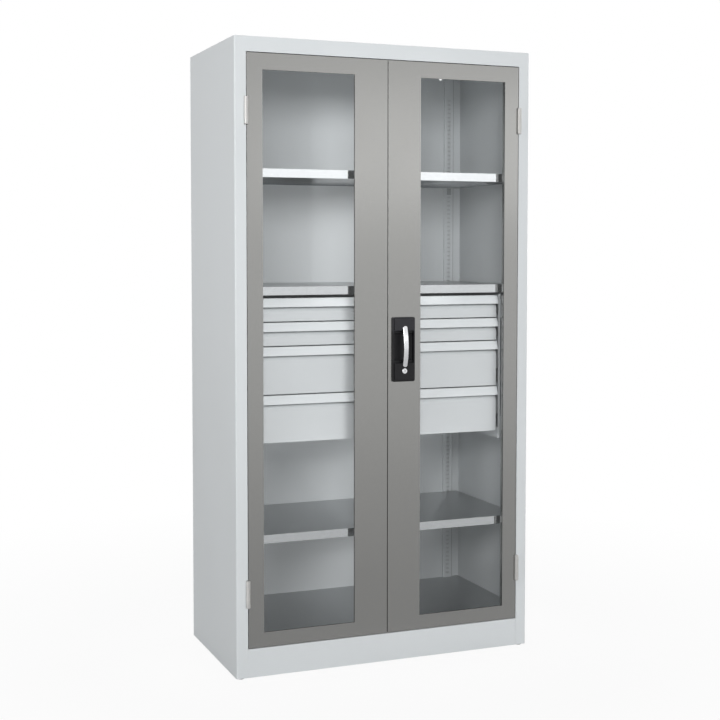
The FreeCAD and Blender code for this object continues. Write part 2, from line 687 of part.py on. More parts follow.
def frame_knuckles():
    """Lower knuckle of every right-hand hinge, fixed to the stile."""
    return [knuckle(z, z, OPENING_SIDE - HINGE_LEAF) for z in hinge_places()]


def door_knuckles():
    """Upper knuckle of every right-hand hinge, fixed to the door's edge."""
    return [
        knuckle(z + KNUCKLE + HINGE_KNUCKLE_GAP, z + HINGE_LENGTH, DOOR_OUT)
        for z in hinge_places()
    ]


def hinge_pins():
    """Pins of the right-hand hinges."""
    return [
        disc_z(HINGE_PIN_RADIUS, OPENING_SIDE, HINGE_Y, z, z + HINGE_LENGTH)
        for z in hinge_places()
    ]


def plate_screw_places():
    """X and Z of the four screws behind the handle plate."""
    inset = PLATE_SCREW_INSET
    return [
        (x, z)
        for x in (PLATE_LEFT + inset, PLATE_RIGHT - inset)
        for z in (PLATE_BOTTOM + inset, PLATE_TOP - inset)
    ]


def handle_plate():
    """Handle plate: a rounded base, an upper and a lower block, and a dish for the fingers."""
    slab = block(PLATE_LEFT, PLATE_RIGHT, PLATE_FACE, FRONT, PLATE_BOTTOM, PLATE_TOP)
    corners = []
    for x in (PLATE_LEFT, PLATE_RIGHT):
        for z in (PLATE_BOTTOM, PLATE_TOP):
            corners += edges_at(slab, INTO, {"x": x, "z": z})
    slab = slab.makeFillet(PLATE_CORNER, corners)
    slab = slab.makeFillet(PLATE_EDGE_ROUND, front_edges(slab, PLATE_FACE))
    inset = PLATE_RIM
    blocks = []
    for z0, z1 in ((RECESS_TOP, PLATE_TOP - inset), (PLATE_BOTTOM + inset, RECESS_BOTTOM)):
        raised = block(PLATE_LEFT + inset, PLATE_RIGHT - inset, BLOCK_FACE, PLATE_FACE, z0, z1)
        blocks.append(raised.makeFillet(PLATE_EDGE_ROUND, front_edges(raised, BLOCK_FACE)))
    wall = DISH_WALL
    dish = block(DISH_LEFT - wall, DISH_RIGHT + wall, FRONT, DISH_BACK, DISH_BOTTOM - wall, DISH_TOP + wall)
    hollow = block(DISH_LEFT, DISH_RIGHT, PLATE_FACE, DISH_FLOOR, DISH_BOTTOM, DISH_TOP)
    hollow = hollow.makeFillet(DISH_ROUND, front_edges(hollow, DISH_FLOOR))
    recess = block(DISH_LEFT, DISH_RIGHT, PLATE_FACE, FRONT - RECESS_FLOOR, RECESS_BOTTOM, RECESS_TOP)
    bore = disc_y(SPINDLE_RADIUS + SPINDLE_PLAY, PLATE_MIDDLE, SPINDLE_HEIGHT, BLOCK_FACE, FRONT)
    seat = disc_y(CYLINDER_RADIUS, PLATE_MIDDLE, CYLINDER_HEIGHT, BLOCK_FACE, FRONT)
    radius = PLATE_SCREW_RADIUS + SCREW_HOLE_PLAY
    pilots = [disc_y(radius, x, z, FRONT - PLATE_SCREW_LENGTH, FRONT) for x, z in plate_screw_places()]
    return union([slab, dish] + blocks).cut([hollow, recess, bore, seat] + pilots)


def front_edges(shape, y):
    """Edges that lie wholly in one plane across Y."""
    return [
        edge for edge in shape.Edges
        if abs(edge.BoundBox.YMin - y) < NEAR and abs(edge.BoundBox.YMax - y) < NEAR
    ]


def handle_screws():
    """Screws through the door skin into the plate."""
    screws = []
    for x, z in plate_screw_places():
        head = disc_y(PLATE_SCREW_HEAD_RADIUS, x, z, DOOR_SKIN_BACK, DOOR_SKIN_BACK + PLATE_SCREW_HEAD)
        shank = disc_y(PLATE_SCREW_RADIUS, x, z, FRONT - PLATE_SCREW_LENGTH, DOOR_SKIN_BACK)
        screws.append(union([head, shank]))
    return screws


def handle_bow():
    """Curved bar with rounded tips, flat where its ends lie over the plate's blocks."""
    rise = BOW_MIDDLE_PROUD - BOW_END_PROUD
    radius = (BOW_LENGTH ** 2 / 4 + rise ** 2) / (2 * rise)
    turn = math.degrees(math.asin((BOW_LENGTH / 2 + BOW_THICKNESS) / radius))
    middle = (BOW_BOTTOM + BOW_TOP) / 2
    crown = FRONT - BOW_MIDDLE_PROUD
    left = PLATE_MIDDLE - BOW_WIDTH / 2
    right = PLATE_MIDDLE + BOW_WIDTH / 2
    sample = block(left, right, crown, crown + BOW_THICKNESS, middle, middle + PAST)
    sample = sample.makeFillet(BOW_EDGE_ROUND, edges_at(sample, UP, {}))
    section = [face for face in sample.Faces if face.BoundBox.ZMax < middle + NEAR][0]
    centre = FreeCAD.Vector(PLATE_MIDDLE, crown + radius, middle)
    section.rotate(centre, ACROSS, -turn)
    bar = section.revolve(centre, ACROSS, 2 * turn)
    outline = block(left, right, crown - PAST, BLOCK_FACE - BOW_GAP, BOW_BOTTOM, BOW_TOP)
    outline = outline.makeFillet(BOW_TIP_RADIUS, edges_at(outline, INTO, {}))
    return bar.common(outline).Solids[0]


def handle_spindle():
    """Round shaft between the bow and the cam."""
    return disc_y(SPINDLE_RADIUS, PLATE_MIDDLE, SPINDLE_HEIGHT, BLOCK_FACE - BOW_GAP, CAM_FRONT)


def cam_pin(side):
    """Rest place of the pin that moves one rod: the right pin is the upper rod's."""
    turn = math.radians(CAM_PIN_REST_DEG)
    x = PLATE_MIDDLE + side * CAM_PIN_CIRCLE * math.cos(turn)
    z = SPINDLE_HEIGHT + side * CAM_PIN_CIRCLE * math.sin(turn)
    return x, z


def lock_cam():
    """Disc on the spindle with a pin for each rod."""
    disc = disc_y(CAM_RADIUS, PLATE_MIDDLE, SPINDLE_HEIGHT, CAM_FRONT, CAM_BACK)
    pins = []
    for side in (1, -1):
        x, z = cam_pin(side)
        pins.append(disc_y(CAM_PIN_RADIUS, x, z, CAM_BACK, CAM_BACK + CAM_PIN_LENGTH))
    return union([disc] + pins)


def rod_hole(z0, z1):
    """Slot that lets a rod through a flange."""
    half = ROD_WIDTH / 2 + ROD_HOLE_PLAY
    return block(PLATE_MIDDLE - half, PLATE_MIDDLE + half,
                 ROD_FRONT - ROD_HOLE_PLAY, ROD_BACK + ROD_HOLE_PLAY, z0, z1)


def lock_rod(side, tip):
    """Flat rod with a slotted foot beside the cam: side 1 goes up, -1 goes down."""
    near = PLATE_MIDDLE + side * ROD_FOOT_SIDE_GAP
    far = near + side * ROD_FOOT_WIDTH
    pin_x, pin_z = cam_pin(side)
    neck = SPINDLE_HEIGHT + side * ROD_NECK_RISE
    foot_end = pin_z - side * ROD_FOOT_BEYOND_PIN
    foot_top = SPINDLE_HEIGHT + side * ROD_FOOT_REACH
    half = ROD_WIDTH / 2
    rod = union([
        block(near, far, ROD_FRONT, ROD_BACK, foot_end, foot_top),
        block(PLATE_MIDDLE - half, PLATE_MIDDLE + half, ROD_FRONT, ROD_BACK, neck, tip),
    ])
    reach = CAM_PIN_CIRCLE + CAM_PIN_RADIUS + ROD_SLOT_END_PLAY
    least = CAM_PIN_CIRCLE * math.cos(math.radians(CAM_PIN_REST_DEG))
    least -= CAM_PIN_RADIUS + ROD_SLOT_END_PLAY
    slot_half = CAM_PIN_RADIUS + ROD_SLOT_PLAY
    slot = block(PLATE_MIDDLE + side * least, PLATE_MIDDLE + side * reach, ROD_FRONT, ROD_BACK,
                 pin_z - slot_half, pin_z + slot_half)
    return rod.cut(slot)


def rod_keepers():
    """Blocks above the top return and below the sill that the rods enter."""
    half = ROD_WIDTH / 2 + KEEPER_MARGIN
    lip = KEEPER_MARGIN / 2
    keepers = []
    for z in (OPENING_TOP + BODY_SHEET, PLINTH_TOP - BODY_SHEET - KEEPER_HEIGHT):
        body = block(PLATE_MIDDLE - half, PLATE_MIDDLE + half, ROD_FRONT - lip, ROD_BACK + lip,
                     z, z + KEEPER_HEIGHT)
        keepers.append(body.cut(rod_hole(z, z + KEEPER_HEIGHT)))
    return keepers


def lock_cover():
    """Cover over the cam, with two side flanges that stand on the door skin."""
    half = LOCK_COVER_WIDTH / 2
    s = LOCK_COVER_SHEET
    face = ROD_BACK + LOCK_COVER_GAP
    low = SPINDLE_HEIGHT - LOCK_COVER_HEIGHT / 2
    high = low + LOCK_COVER_HEIGHT
    outer = block(PLATE_MIDDLE - half, PLATE_MIDDLE + half, DOOR_SKIN_BACK, face + s, low, high)
    inner = block(PLATE_MIDDLE - half + s, PLATE_MIDDLE + half - s, DOOR_SKIN_BACK, face, low, high)
    lowered = DISH_TOP + DISH_WALL + DISH_CLEARANCE
    dish_room = block(PLATE_MIDDLE - half, PLATE_MIDDLE + half, DOOR_SKIN_BACK, DISH_BACK, low, lowered)
    screw_room = [
        disc_y(PLATE_SCREW_HEAD_RADIUS + DISH_CLEARANCE, x, z, DOOR_SKIN_BACK,
               DOOR_SKIN_BACK + PLATE_SCREW_HEAD + DISH_CLEARANCE)
        for x, z in plate_screw_places()
    ]
    return outer.cut([inner, dish_room] + screw_room)


def rod_guides():
    """Bridges on the door skin that keep the rods straight."""
    half = ROD_WIDTH / 2 + GUIDE_PLAY
    s = GUIDE_SHEET
    face = ROD_BACK + GUIDE_PLAY
    guides = []
    heights = [DOOR_TOP - inset for inset in GUIDE_INSETS]
    heights += [DOOR_BOTTOM + inset for inset in GUIDE_INSETS]
    for z in heights:
        low = z - GUIDE_HEIGHT / 2
        high = z + GUIDE_HEIGHT / 2
        outer = block(PLATE_MIDDLE - half - s, PLATE_MIDDLE + half + s, DOOR_SKIN_BACK, face + s, low, high)
        inner = block(PLATE_MIDDLE - half, PLATE_MIDDLE + half, DOOR_SKIN_BACK, face, low, high)
        guides.append(outer.cut(inner))
    return guides


def cylinder_housing():
    """Fixed barrel of the key lock."""
    back = CYLINDER_FACE + CYLINDER_LENGTH
    barrel = disc_y(CYLINDER_RADIUS, PLATE_MIDDLE, CYLINDER_HEIGHT, CYLINDER_FACE, back)
    barrel = barrel.makeChamfer(CYLINDER_PROUD / 2, front_edges(barrel, CYLINDER_FACE))
    bore = disc_y(PLUG_RADIUS + PLUG_PLAY, PLATE_MIDDLE, CYLINDER_HEIGHT, CYLINDER_FACE, back)
    return barrel.cut(bore)


def key_plug():
    """Turning plug with a key slot in front and a tongue behind."""
    face = CYLINDER_FACE - PLUG_PROUD
    back = CYLINDER_FACE + CYLINDER_LENGTH + PLUG_PROUD
    plug = disc_y(PLUG_RADIUS, PLATE_MIDDLE, CYLINDER_HEIGHT, face, back)
    half = KEY_SLOT_WIDTH / 2
    rise = KEY_SLOT_HEIGHT / 2
    slot = block(PLATE_MIDDLE - half, PLATE_MIDDLE + half, face, face + KEY_SLOT_DEPTH,
                 CYLINDER_HEIGHT - rise, CYLINDER_HEIGHT + rise)
    tongue = block(PLATE_MIDDLE - TONGUE_WIDTH / 2, PLATE_MIDDLE + TONGUE_WIDTH / 2,
                   back, back + TONGUE_THICKNESS,
                   CYLINDER_HEIGHT - TONGUE_LENGTH, CYLINDER_HEIGHT + PLUG_RADIUS)
    return union([plug, tongue]).cut(slot)


def drawer_places():
    """Bottom and top of every drawer front, from the top drawer down."""
    places = []
    top = DRAWERS_TOP
    for pitch in DRAWER_PITCHES:
        places.append((top - pitch + DRAWER_GAP, top))
        top -= pitch
    return places


def line_yz(start, end):
    """Straight edge in the Y and Z plane."""
    return Part.LineSegment(FreeCAD.Vector(0, *start), FreeCAD.Vector(0, *end)).toShape()


def arc_yz(start, through, end):
    """Round edge in the Y and Z plane."""
    return Part.Arc(FreeCAD.Vector(0, *start), FreeCAD.Vector(0, *through), FreeCAD.Vector(0, *end)).toShape()


def drawer_front(bottom, top):
    """Front panel whose upper edge rolls back behind a full-width grip strip."""
    s = DRAWER_SHEET
    face = DRAWER_FACE
    rear = TRAY_FRONT - s
    lip = (face - GRIP_PROJECTION, top - GRIP_HEIGHT)
    brow = (face - GRIP_TOP_PROJECTION, top)
    swell = ((lip[0] + brow[0]) / 2 - GRIP_BULGE, (lip[1] + brow[1]) / 2)
    strip = section_along_x([
        arc_yz(lip, swell, brow),
        line_yz(brow, (brow[0] + s, top)),
        arc_yz((brow[0] + s, top), (swell[0] + s, swell[1]), (lip[0] + s, lip[1])),
        line_yz((lip[0] + s, lip[1]), lip),
    ], -DRAWER_SIDE, DRAWER_SIDE)
    panel_top = top - GRIP_HEIGHT - SCOOP_HEIGHT
    radius = (SCOOP_DEPTH ** 2 + SCOOP_HEIGHT ** 2) / (2 * SCOOP_DEPTH)
    half_turn = math.asin(SCOOP_HEIGHT / radius) / 2

    def on_scoop(turn, offset):
        reach = radius - offset
        return (face + radius - reach * math.cos(turn), panel_top + reach * math.sin(turn))

    scoop = section_along_x([
        arc_yz(on_scoop(0, 0), on_scoop(half_turn, 0), on_scoop(2 * half_turn, 0)),
        line_yz(on_scoop(2 * half_turn, 0), on_scoop(2 * half_turn, s)),
        arc_yz(on_scoop(2 * half_turn, s), on_scoop(half_turn, s), on_scoop(0, s)),
        line_yz(on_scoop(0, s), on_scoop(0, 0)),
    ], -DRAWER_SIDE, DRAWER_SIDE)
    scoop_top = on_scoop(2 * half_turn, s)[1]
    wall_foot = scoop_top - s
    return union([
        strip,
        block(-DRAWER_SIDE, DRAWER_SIDE, brow[0], TRAY_FRONT, top - s, top),
        block(-DRAWER_SIDE, DRAWER_SIDE, rear, TRAY_FRONT, wall_foot, top),
        scoop,
        block(-DRAWER_SIDE, DRAWER_SIDE, face, face + s, bottom, panel_top),
        block(-DRAWER_SIDE, DRAWER_SIDE, face, TRAY_FRONT, bottom, bottom + s),
    ])


def drawer_tray(bottom, top):
    """Open box behind the front."""
    s = TRAY_SHEET
    low = bottom + TRAY_RISE
    high = top - TRAY_TOP_DROP
    back = TRAY_FRONT + TRAY_LENGTH
    outer = block(-TRAY_SIDE, TRAY_SIDE, TRAY_FRONT, back, low, high)
    hollow = block(-TRAY_SIDE + s, TRAY_SIDE - s, TRAY_FRONT + s, back - s, low + s, high)
    foot = block(-TRAY_SIDE, TRAY_SIDE, TRAY_FRONT, TRAY_FRONT + s, bottom, low)
    return union([outer.cut(hollow), foot])


def channel_rail(web0, web1, tip, low, height, y0, y1):
    """Runner member: an upright web with two flanges that reach to the tip."""
    s = RUNNER_SHEET
    return union([
        block(web0, web1, y0, y1, low, low + height),
        block(web0, tip, y0, y1, low, low + s),
        block(web0, tip, y0, y1, low + height - s, low + height),
    ])


def outer_runner(bottom):
    """Runner member fixed to the right-hand carrier."""
    web = CARRIER_IN - RUNNER_SHEET
    tip = CARRIER_IN - RUNNER_OUTER_LIP
    return channel_rail(CARRIER_IN, web, tip, bottom + RUNNER_RISE, RUNNER_HEIGHT, RUNNER_FRONT, RUNNER_BACK)


def mid_runner(bottom):
    """Runner member between the fixed one and the drawer's."""
    low = bottom + RUNNER_RISE + RUNNER_SHEET + RUNNER_PLAY
    height = RUNNER_HEIGHT - 2 * (RUNNER_SHEET + RUNNER_PLAY)
    face = CARRIER_LIP - RUNNER_MID_CLEARANCE
    return channel_rail(face, face - RUNNER_SHEET, face - RUNNER_MID_LIP, low, height,
                        RUNNER_FRONT, RUNNER_BACK)


def inner_runner(bottom):
    """Runner member fixed to the right side of the drawer's tray."""
    low = bottom + RUNNER_RISE + 2 * (RUNNER_SHEET + RUNNER_PLAY)
    height = RUNNER_HEIGHT - 4 * (RUNNER_SHEET + RUNNER_PLAY)
    mid_web = CARRIER_LIP - RUNNER_MID_CLEARANCE - RUNNER_SHEET
    tip = mid_web - RUNNER_INNER_TIP_GAP
    return channel_rail(TRAY_SIDE, TRAY_SIDE + RUNNER_SHEET, tip, low, height,
                        TRAY_FRONT, TRAY_FRONT + TRAY_LENGTH)


def carrier_screw_heights():
    """Heights of the screws that hold a carrier in the rear upright's slots."""
    number = SHELF_SLOT_NUMBERS["middle_shelf"]
    return [slot_height(number - step) for step in CARRIER_SCREW_STEPS]


def runner_carrier():
    """Right-hand upright plate with a front lip and a flange on the rear upright."""
    s = CARRIER_SHEET
    rear = REAR_UPRIGHT_FACE
    flange_end = REAR_UPRIGHT_CENTRE + UPRIGHT_WIDTH / 2 - CARRIER_FLANGE_MARGIN
    plate = union([
        block(CARRIER_IN, CARRIER_OUT, CARRIER_FRONT, rear, CARRIER_BOTTOM, CARRIER_TOP),
        block(CARRIER_LIP, CARRIER_OUT, CARRIER_FRONT, CARRIER_FRONT + s, CARRIER_BOTTOM, CARRIER_TOP),
        block(CARRIER_OUT, flange_end, rear - s, rear, CARRIER_BOTTOM, CARRIER_FLANGE_TOP),
    ])
    radius = CARRIER_SCREW_RADIUS + SCREW_HOLE_PLAY
    holes = [disc_y(radius, REAR_UPRIGHT_CENTRE, z, rear - s, rear) for z in carrier_screw_heights()]
    return plate.cut(holes)


def carrier_screws():
    """Screws through the carriers' rear flanges into the uprights' slots."""
    screws = []
    flange = REAR_UPRIGHT_FACE - CARRIER_SHEET
    for z in carrier_screw_heights():
        head = disc_y(CARRIER_SCREW_HEAD_RADIUS, REAR_UPRIGHT_CENTRE, z, flange - CARRIER_SCREW_HEAD, flange)
        shank = disc_y(CARRIER_SCREW_RADIUS, REAR_UPRIGHT_CENTRE, z, flange, flange + CARRIER_SCREW_LENGTH)
        screws.append(union([head, shank]))
    return both_sides(screws)


def carrier_brackets():
    """Brackets from the carriers to the front uprights."""
    s = CARRIER_SHEET
    rear = FRONT_UPRIGHT_CENTRE + UPRIGHT_WIDTH / 2
    brackets = []
    lows = (CARRIER_BOTTOM + BRACKET_END_GAP, CARRIER_FLANGE_TOP - BRACKET_HEIGHT)
    for low in lows:
        high = low + BRACKET_HEIGHT
        brackets.append(union([
            block(CARRIER_OUT, FRONT_UPRIGHT_FACE, rear - s, rear, low, high),
            block(FRONT_UPRIGHT_FACE - s, FRONT_UPRIGHT_FACE, rear - BRACKET_FLANGE, rear, low, high),
            block(CARRIER_OUT, CARRIER_OUT + s, rear - s, rear + BRACKET_FLANGE, low, high),
        ]))
    return both_sides(brackets)


def save(name, shape):
    """Write one node, made of a shape or of a list of separate solids."""
    solids = []
    for item in shape if isinstance(shape, list) else [shape]:
        solids += item.Solids
    for solid in solids:
        if not solid.isValid() or solid.Volume <= 0:
            raise ValueError(name + " has a bad solid")
    whole = solids[0] if len(solids) == 1 else Part.makeCompound(solids)
    whole.exportStep("parts/" + name + ".step")


def build_carcass():
    side = side_panel()
    save("right_side_panel", side)
    save("left_side_panel", mirrored(side))
    save("top_panel", top_panel())
    save("back_panel", back_panel())
    save("plinth", plinth())
    save("base_deck", base_deck())
    save("deck_angles", deck_angles())
    save("corner_plates", corner_plates())
    save("floor_glides", floor_glides())
    for place, upright in (("rear", rear_upright()), ("front", front_upright())):
        save(place + "_right_upright", upright)
        save(place + "_left_upright", mirrored(upright))
    for name, bottom in SHELF_BOTTOMS.items():
        save(name, shelf(bottom))
    save("shelf_clips", shelf_clips())
    carrier = runner_carrier()
    save("right_runner_carrier", carrier)
    save("left_runner_carrier", mirrored(carrier))
    save("carrier_brackets", carrier_brackets())
    save("carrier_screws", carrier_screws())
    save("outer_runners", both_sides([outer_runner(bottom) for bottom, top in drawer_places()]))
    save("frame_hinge_knuckles", both_sides(frame_knuckles()))
    save("hinge_pins", both_sides(hinge_pins()))
    save("rod_keepers", rod_keepers())


def build_doors():
    save("right_door_skin", right_door_skin())
    save("left_door_skin", mirrored(door_pan()))
    glass = pane()
    beads = glazing_beads()
    knuckles = door_knuckles()
    save("right_pane", glass)
    save("left_pane", mirrored(glass))
    save("right_glazing_beads", beads)
    save("left_glazing_beads", [mirrored(bead) for bead in beads])
    save("right_door_knuckles", knuckles)
    save("left_door_knuckles", [mirrored(piece) for piece in knuckles])


def build_lock():
    save("handle_plate", handle_plate())
    save("handle_screws", handle_screws())
    save("handle_bow", handle_bow())
    save("handle_spindle", handle_spindle())
    save("lock_cam", lock_cam())
    save("upper_lock_rod", lock_rod(1, DOOR_TOP - ROD_TIP_DRAWN_IN))
    save("lower_lock_rod", lock_rod(-1, DOOR_BOTTOM + ROD_TIP_DRAWN_IN))
    save("rod_guides", rod_guides())
    save("lock_cover", lock_cover())
    save("cylinder_housing", cylinder_housing())
    save("key_plug", key_plug())


def build_drawers():
    for number, (bottom, top) in enumerate(drawer_places(), start=1):
        name = "drawer_" + str(number)
        save(name + "_front", drawer_front(bottom, top))
        save(name + "_tray", drawer_tray(bottom, top))
        save(name + "_inner_runners", both_sides([inner_runner(bottom)]))
        save(name + "_mid_runners", both_sides([mid_runner(bottom)]))


os.makedirs("parts", exist_ok=True)
build_carcass()
build_doors()
build_lock()
build_drawers()
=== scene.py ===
# %% [markdown]
# # A storage cabinet with glazed doors
# The real cabinet is folded from steel sheet: a light grey body, two warm grey doors with clear panes,
# bright shelves and four drawers. Its pieces were measured and built as solids, and they are loaded here
# as a fixed frame. Nothing in the frame is ever moved: this lesson adds the light, the finishes and the
# smallest fittings, and reads their places from the frame's own measurements wherever it can.

# %% Load the frame
import math

import bmesh
import bpy
from mathutils import Color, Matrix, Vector


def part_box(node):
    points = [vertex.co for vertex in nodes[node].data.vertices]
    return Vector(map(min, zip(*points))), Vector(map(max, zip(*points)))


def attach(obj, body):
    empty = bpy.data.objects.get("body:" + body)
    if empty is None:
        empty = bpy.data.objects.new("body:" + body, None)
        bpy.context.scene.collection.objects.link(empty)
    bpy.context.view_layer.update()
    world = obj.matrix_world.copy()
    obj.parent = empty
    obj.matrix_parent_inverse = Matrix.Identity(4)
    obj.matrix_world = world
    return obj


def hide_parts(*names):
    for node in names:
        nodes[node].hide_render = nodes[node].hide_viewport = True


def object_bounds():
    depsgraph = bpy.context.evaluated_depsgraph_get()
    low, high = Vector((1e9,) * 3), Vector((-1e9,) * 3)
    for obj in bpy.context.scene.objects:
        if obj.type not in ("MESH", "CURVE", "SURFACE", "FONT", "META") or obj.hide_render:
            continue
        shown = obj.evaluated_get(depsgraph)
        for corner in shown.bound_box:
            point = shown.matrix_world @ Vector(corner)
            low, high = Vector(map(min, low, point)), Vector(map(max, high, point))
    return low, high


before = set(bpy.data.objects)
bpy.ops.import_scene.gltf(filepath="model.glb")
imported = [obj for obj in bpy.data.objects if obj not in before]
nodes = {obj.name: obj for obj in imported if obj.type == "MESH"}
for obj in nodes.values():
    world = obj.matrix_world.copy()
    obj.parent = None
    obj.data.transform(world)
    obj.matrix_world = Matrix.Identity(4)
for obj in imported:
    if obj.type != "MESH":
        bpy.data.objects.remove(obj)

cad_low, cad_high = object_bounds()
print("box in metres:", [round(value, 3) for value in cad_high - cad_low])

# %% [markdown]
# ## The camera
# The photograph keeps upright lines upright: its camera looked almost level, and the picture was framed by
# sliding the film rather than by tilting. Blender's lens shift does the same, but it shifts every other
# view too, so a tilt of three degrees takes over the larger part here. The focal length and the crossing
# of the view axis are given in pixels of a square picture and turned into lens and shift.

# %% Camera at the photograph's view
IMAGE_SIDE = 720
FOCAL_PIXELS = 1314.2
VIEW_AXIS_PIXEL = (346.1, 317.7)
CAMERA_PLACE = (-1.645, -4.037, 1.315)
CAMERA_TURN = -0.378
CAMERA_TILT = math.radians(3)

camera_data = bpy.data.cameras.new("photo_camera")
camera_data.lens = FOCAL_PIXELS / IMAGE_SIDE * camera_data.sensor_width
camera_data.shift_x = (IMAGE_SIDE / 2 - VIEW_AXIS_PIXEL[0]) / IMAGE_SIDE
camera_data.shift_y = (VIEW_AXIS_PIXEL[1] - IMAGE_SIDE / 2) / IMAGE_SIDE
camera = bpy.data.objects.new("photo_camera", camera_data)
camera.location = CAMERA_PLACE
camera.rotation_euler = (math.pi / 2 - CAMERA_TILT, 0, CAMERA_TURN)
bpy.context.scene.collection.objects.link(camera)
bpy.context.scene.camera = camera
print("lens in millimetres:", round(camera_data.lens, 1))
print("shift across and up:", round(camera_data.shift_x, 3), round(camera_data.shift_y, 3))

# %% [markdown]
# ## A white room
# A product picture needs a white room. The world is plain white to the camera, to mirror-like metal and to
# glass, and gives only a little even light besides: the Light Path node tells which kind of ray is asking.
# The Standard view transform shows colours as they are written.

# %% White world
WORLD_LIGHT = 0.12
WHITE = (1, 1, 1, 1)


def add_math(tree, operation, *values):
    """A Math node on one or two values, each a number or a socket."""
    node = tree.nodes.new("ShaderNodeMath")
    node.operation = operation
    for socket, value in zip(node.inputs, values):
        if isinstance(value, bpy.types.NodeSocket):
            tree.links.new(value, socket)
        else:
            socket.default_value = value
    return node.outputs[0]


def seen_directly(tree, to_camera, in_mirrors):
    """How white a surface is to the camera and in mirrors; light that spreads gets 0."""
    path = tree.nodes.new("ShaderNodeLightPath")
    through = add_math(tree, "MAXIMUM", path.outputs["Is Camera Ray"], path.outputs["Is Transmission Ray"])
    straight = add_math(tree, "MULTIPLY", through, to_camera)
    mirrored = add_math(tree, "MULTIPLY", path.outputs["Is Glossy Ray"], in_mirrors)
    return add_math(tree, "MAXIMUM", straight, mirrored)


bpy.context.scene.view_settings.view_transform = "Standard"
world = bpy.data.worlds.new("white_room")
bpy.context.scene.world = world
world.use_nodes = True
sky = world.node_tree.nodes["Background"]
sky.inputs["Color"].default_value = WHITE
sky_white = seen_directly(world.node_tree, to_camera=1.0, in_mirrors=1.0)
sky_strength = add_math(world.node_tree, "MAXIMUM", sky_white, WORLD_LIGHT)
world.node_tree.links.new(sky_strength, sky.inputs["Strength"])
print("world light:", WORLD_LIGHT)

# %% [markdown]
# ## A pale floor
# The floor takes the cabinet's shadow near by and fades to the white of the world further off, so no line
# shows where they meet. In mirrors it stays greyer than the walls, as a real floor does. So it is a blend
# of a matt paint and plain white, by the distance from the cabinet and by the kind of ray.

# %% Floor that fades to white
FLOOR_SIDE = 400.0
FLOOR_GREY = (0.50, 0.50, 0.50, 1)
SHADOW_FADE = {"near": 0.9, "far": 2.4, "share_near": 0.93}
MIRROR_FADE = {"near": 1.5, "far": 12.0, "share_near": 0.33}


def whiter_with_distance(tree, near, far, share_near):
    """A share that grows to 1 between two distances from the middle of the floor."""
    place = tree.nodes.new("ShaderNodeTexCoord")
    reach = tree.nodes.new("ShaderNodeVectorMath")
    reach.operation = "LENGTH"
    tree.links.new(place.outputs["Object"], reach.inputs[0])
    fade = tree.nodes.new("ShaderNodeMapRange")
    for label, value in {"From Min": near, "From Max": far, "To Min": share_near}.items():
        fade.inputs[label].default_value = value
    tree.links.new(reach.outputs["Value"], fade.inputs["Value"])
    return fade.outputs["Result"]


floor_paint = bpy.data.materials.new("pale_floor")
floor_paint.use_nodes = True
floor_tree = floor_paint.node_tree
floor_tree.nodes.clear()
matt = floor_tree.nodes.new("ShaderNodeBsdfDiffuse")
matt.inputs["Color"].default_value = FLOOR_GREY
white = floor_tree.nodes.new("ShaderNodeEmission")
blend = floor_tree.nodes.new("ShaderNodeMixShader")
floor_white = seen_directly(
    floor_tree,
    to_camera=whiter_with_distance(floor_tree, **SHADOW_FADE),
    in_mirrors=whiter_with_distance(floor_tree, **MIRROR_FADE),
)
floor_tree.links.new(floor_white, blend.inputs["Fac"])
floor_tree.links.new(matt.outputs["BSDF"], blend.inputs[1])
floor_tree.links.new(white.outputs["Emission"], blend.inputs[2])
floor_surface = floor_tree.nodes.new("ShaderNodeOutputMaterial")
floor_tree.links.new(blend.outputs["Shader"], floor_surface.inputs["Surface"])

bpy.ops.mesh.primitive_plane_add(size=FLOOR_SIDE)
floor = bpy.context.object
floor.name = "floor"
floor.data.materials.append(floor_paint)
print("floor side in metres:", FLOOR_SIDE)

# %% [markdown]
# ## The lamps
# The main soft box stands far out in front to the right: its light slants through the windows onto the
# back wall. A second one near the camera fills the front, and others light the sides, the back and the
# top. The long, weak panel is there for its mirror image alone: the metallic doors show it as a soft glow
# in their upper third. The boxes in front, behind and above are hidden from mirrors, so that no glint of
# theirs spoils it.

# %% Soft boxes
CABINET_MIDDLE = (cad_low + cad_high) / 2


def soft_box(name, place, size, watts, aim=CABINET_MIDDLE, mirrored=True, spread=180):
    """A rectangular lamp that faces a point; a small spread keeps its light in a beam."""
    data = bpy.data.lights.new(name, "AREA")
    data.shape = "RECTANGLE"
    data.size, data.size_y = size
    data.energy = watts
    data.spread = math.radians(spread)
    lamp = bpy.data.objects.new(name, data)
    lamp.location = place
    lamp.rotation_euler = (Vector(aim) - Vector(place)).to_track_quat("-Z", "Y").to_euler()
    lamp.visible_camera = False
    lamp.visible_glossy = mirrored
    bpy.context.scene.collection.objects.link(lamp)
    return lamp


lamps = [
    soft_box("main_box", place=(3.1, -8.4, 2.75), size=(4.2, 1.7), watts=324.0, mirrored=False),
    soft_box("fill_box", place=(-1.6, -4.2, 2.35), size=(1.1, 1.2), watts=79.0, mirrored=False),
    soft_box("left_box", place=(-4.2, -1.0, 2.2), size=(2.0, 2.5), watts=77.0),
    soft_box("right_box", place=(4.0, 1.2, 2.2), size=(2.0, 2.5), watts=80.0),
    soft_box("back_box", place=(0.0, 4.4, 2.2), size=(3.0, 2.0), watts=130.0, mirrored=False),
    soft_box("top_box", place=(0.0, 0.0, 4.0), size=(1.05, 0.55), watts=1.6, mirrored=False, spread=14),
    soft_box("mirror_panel", place=(2.45, -4.2, 1.95), size=(3.2, 0.75), watts=4.6),
]
print("soft boxes:", [lamp.name for lamp in lamps])

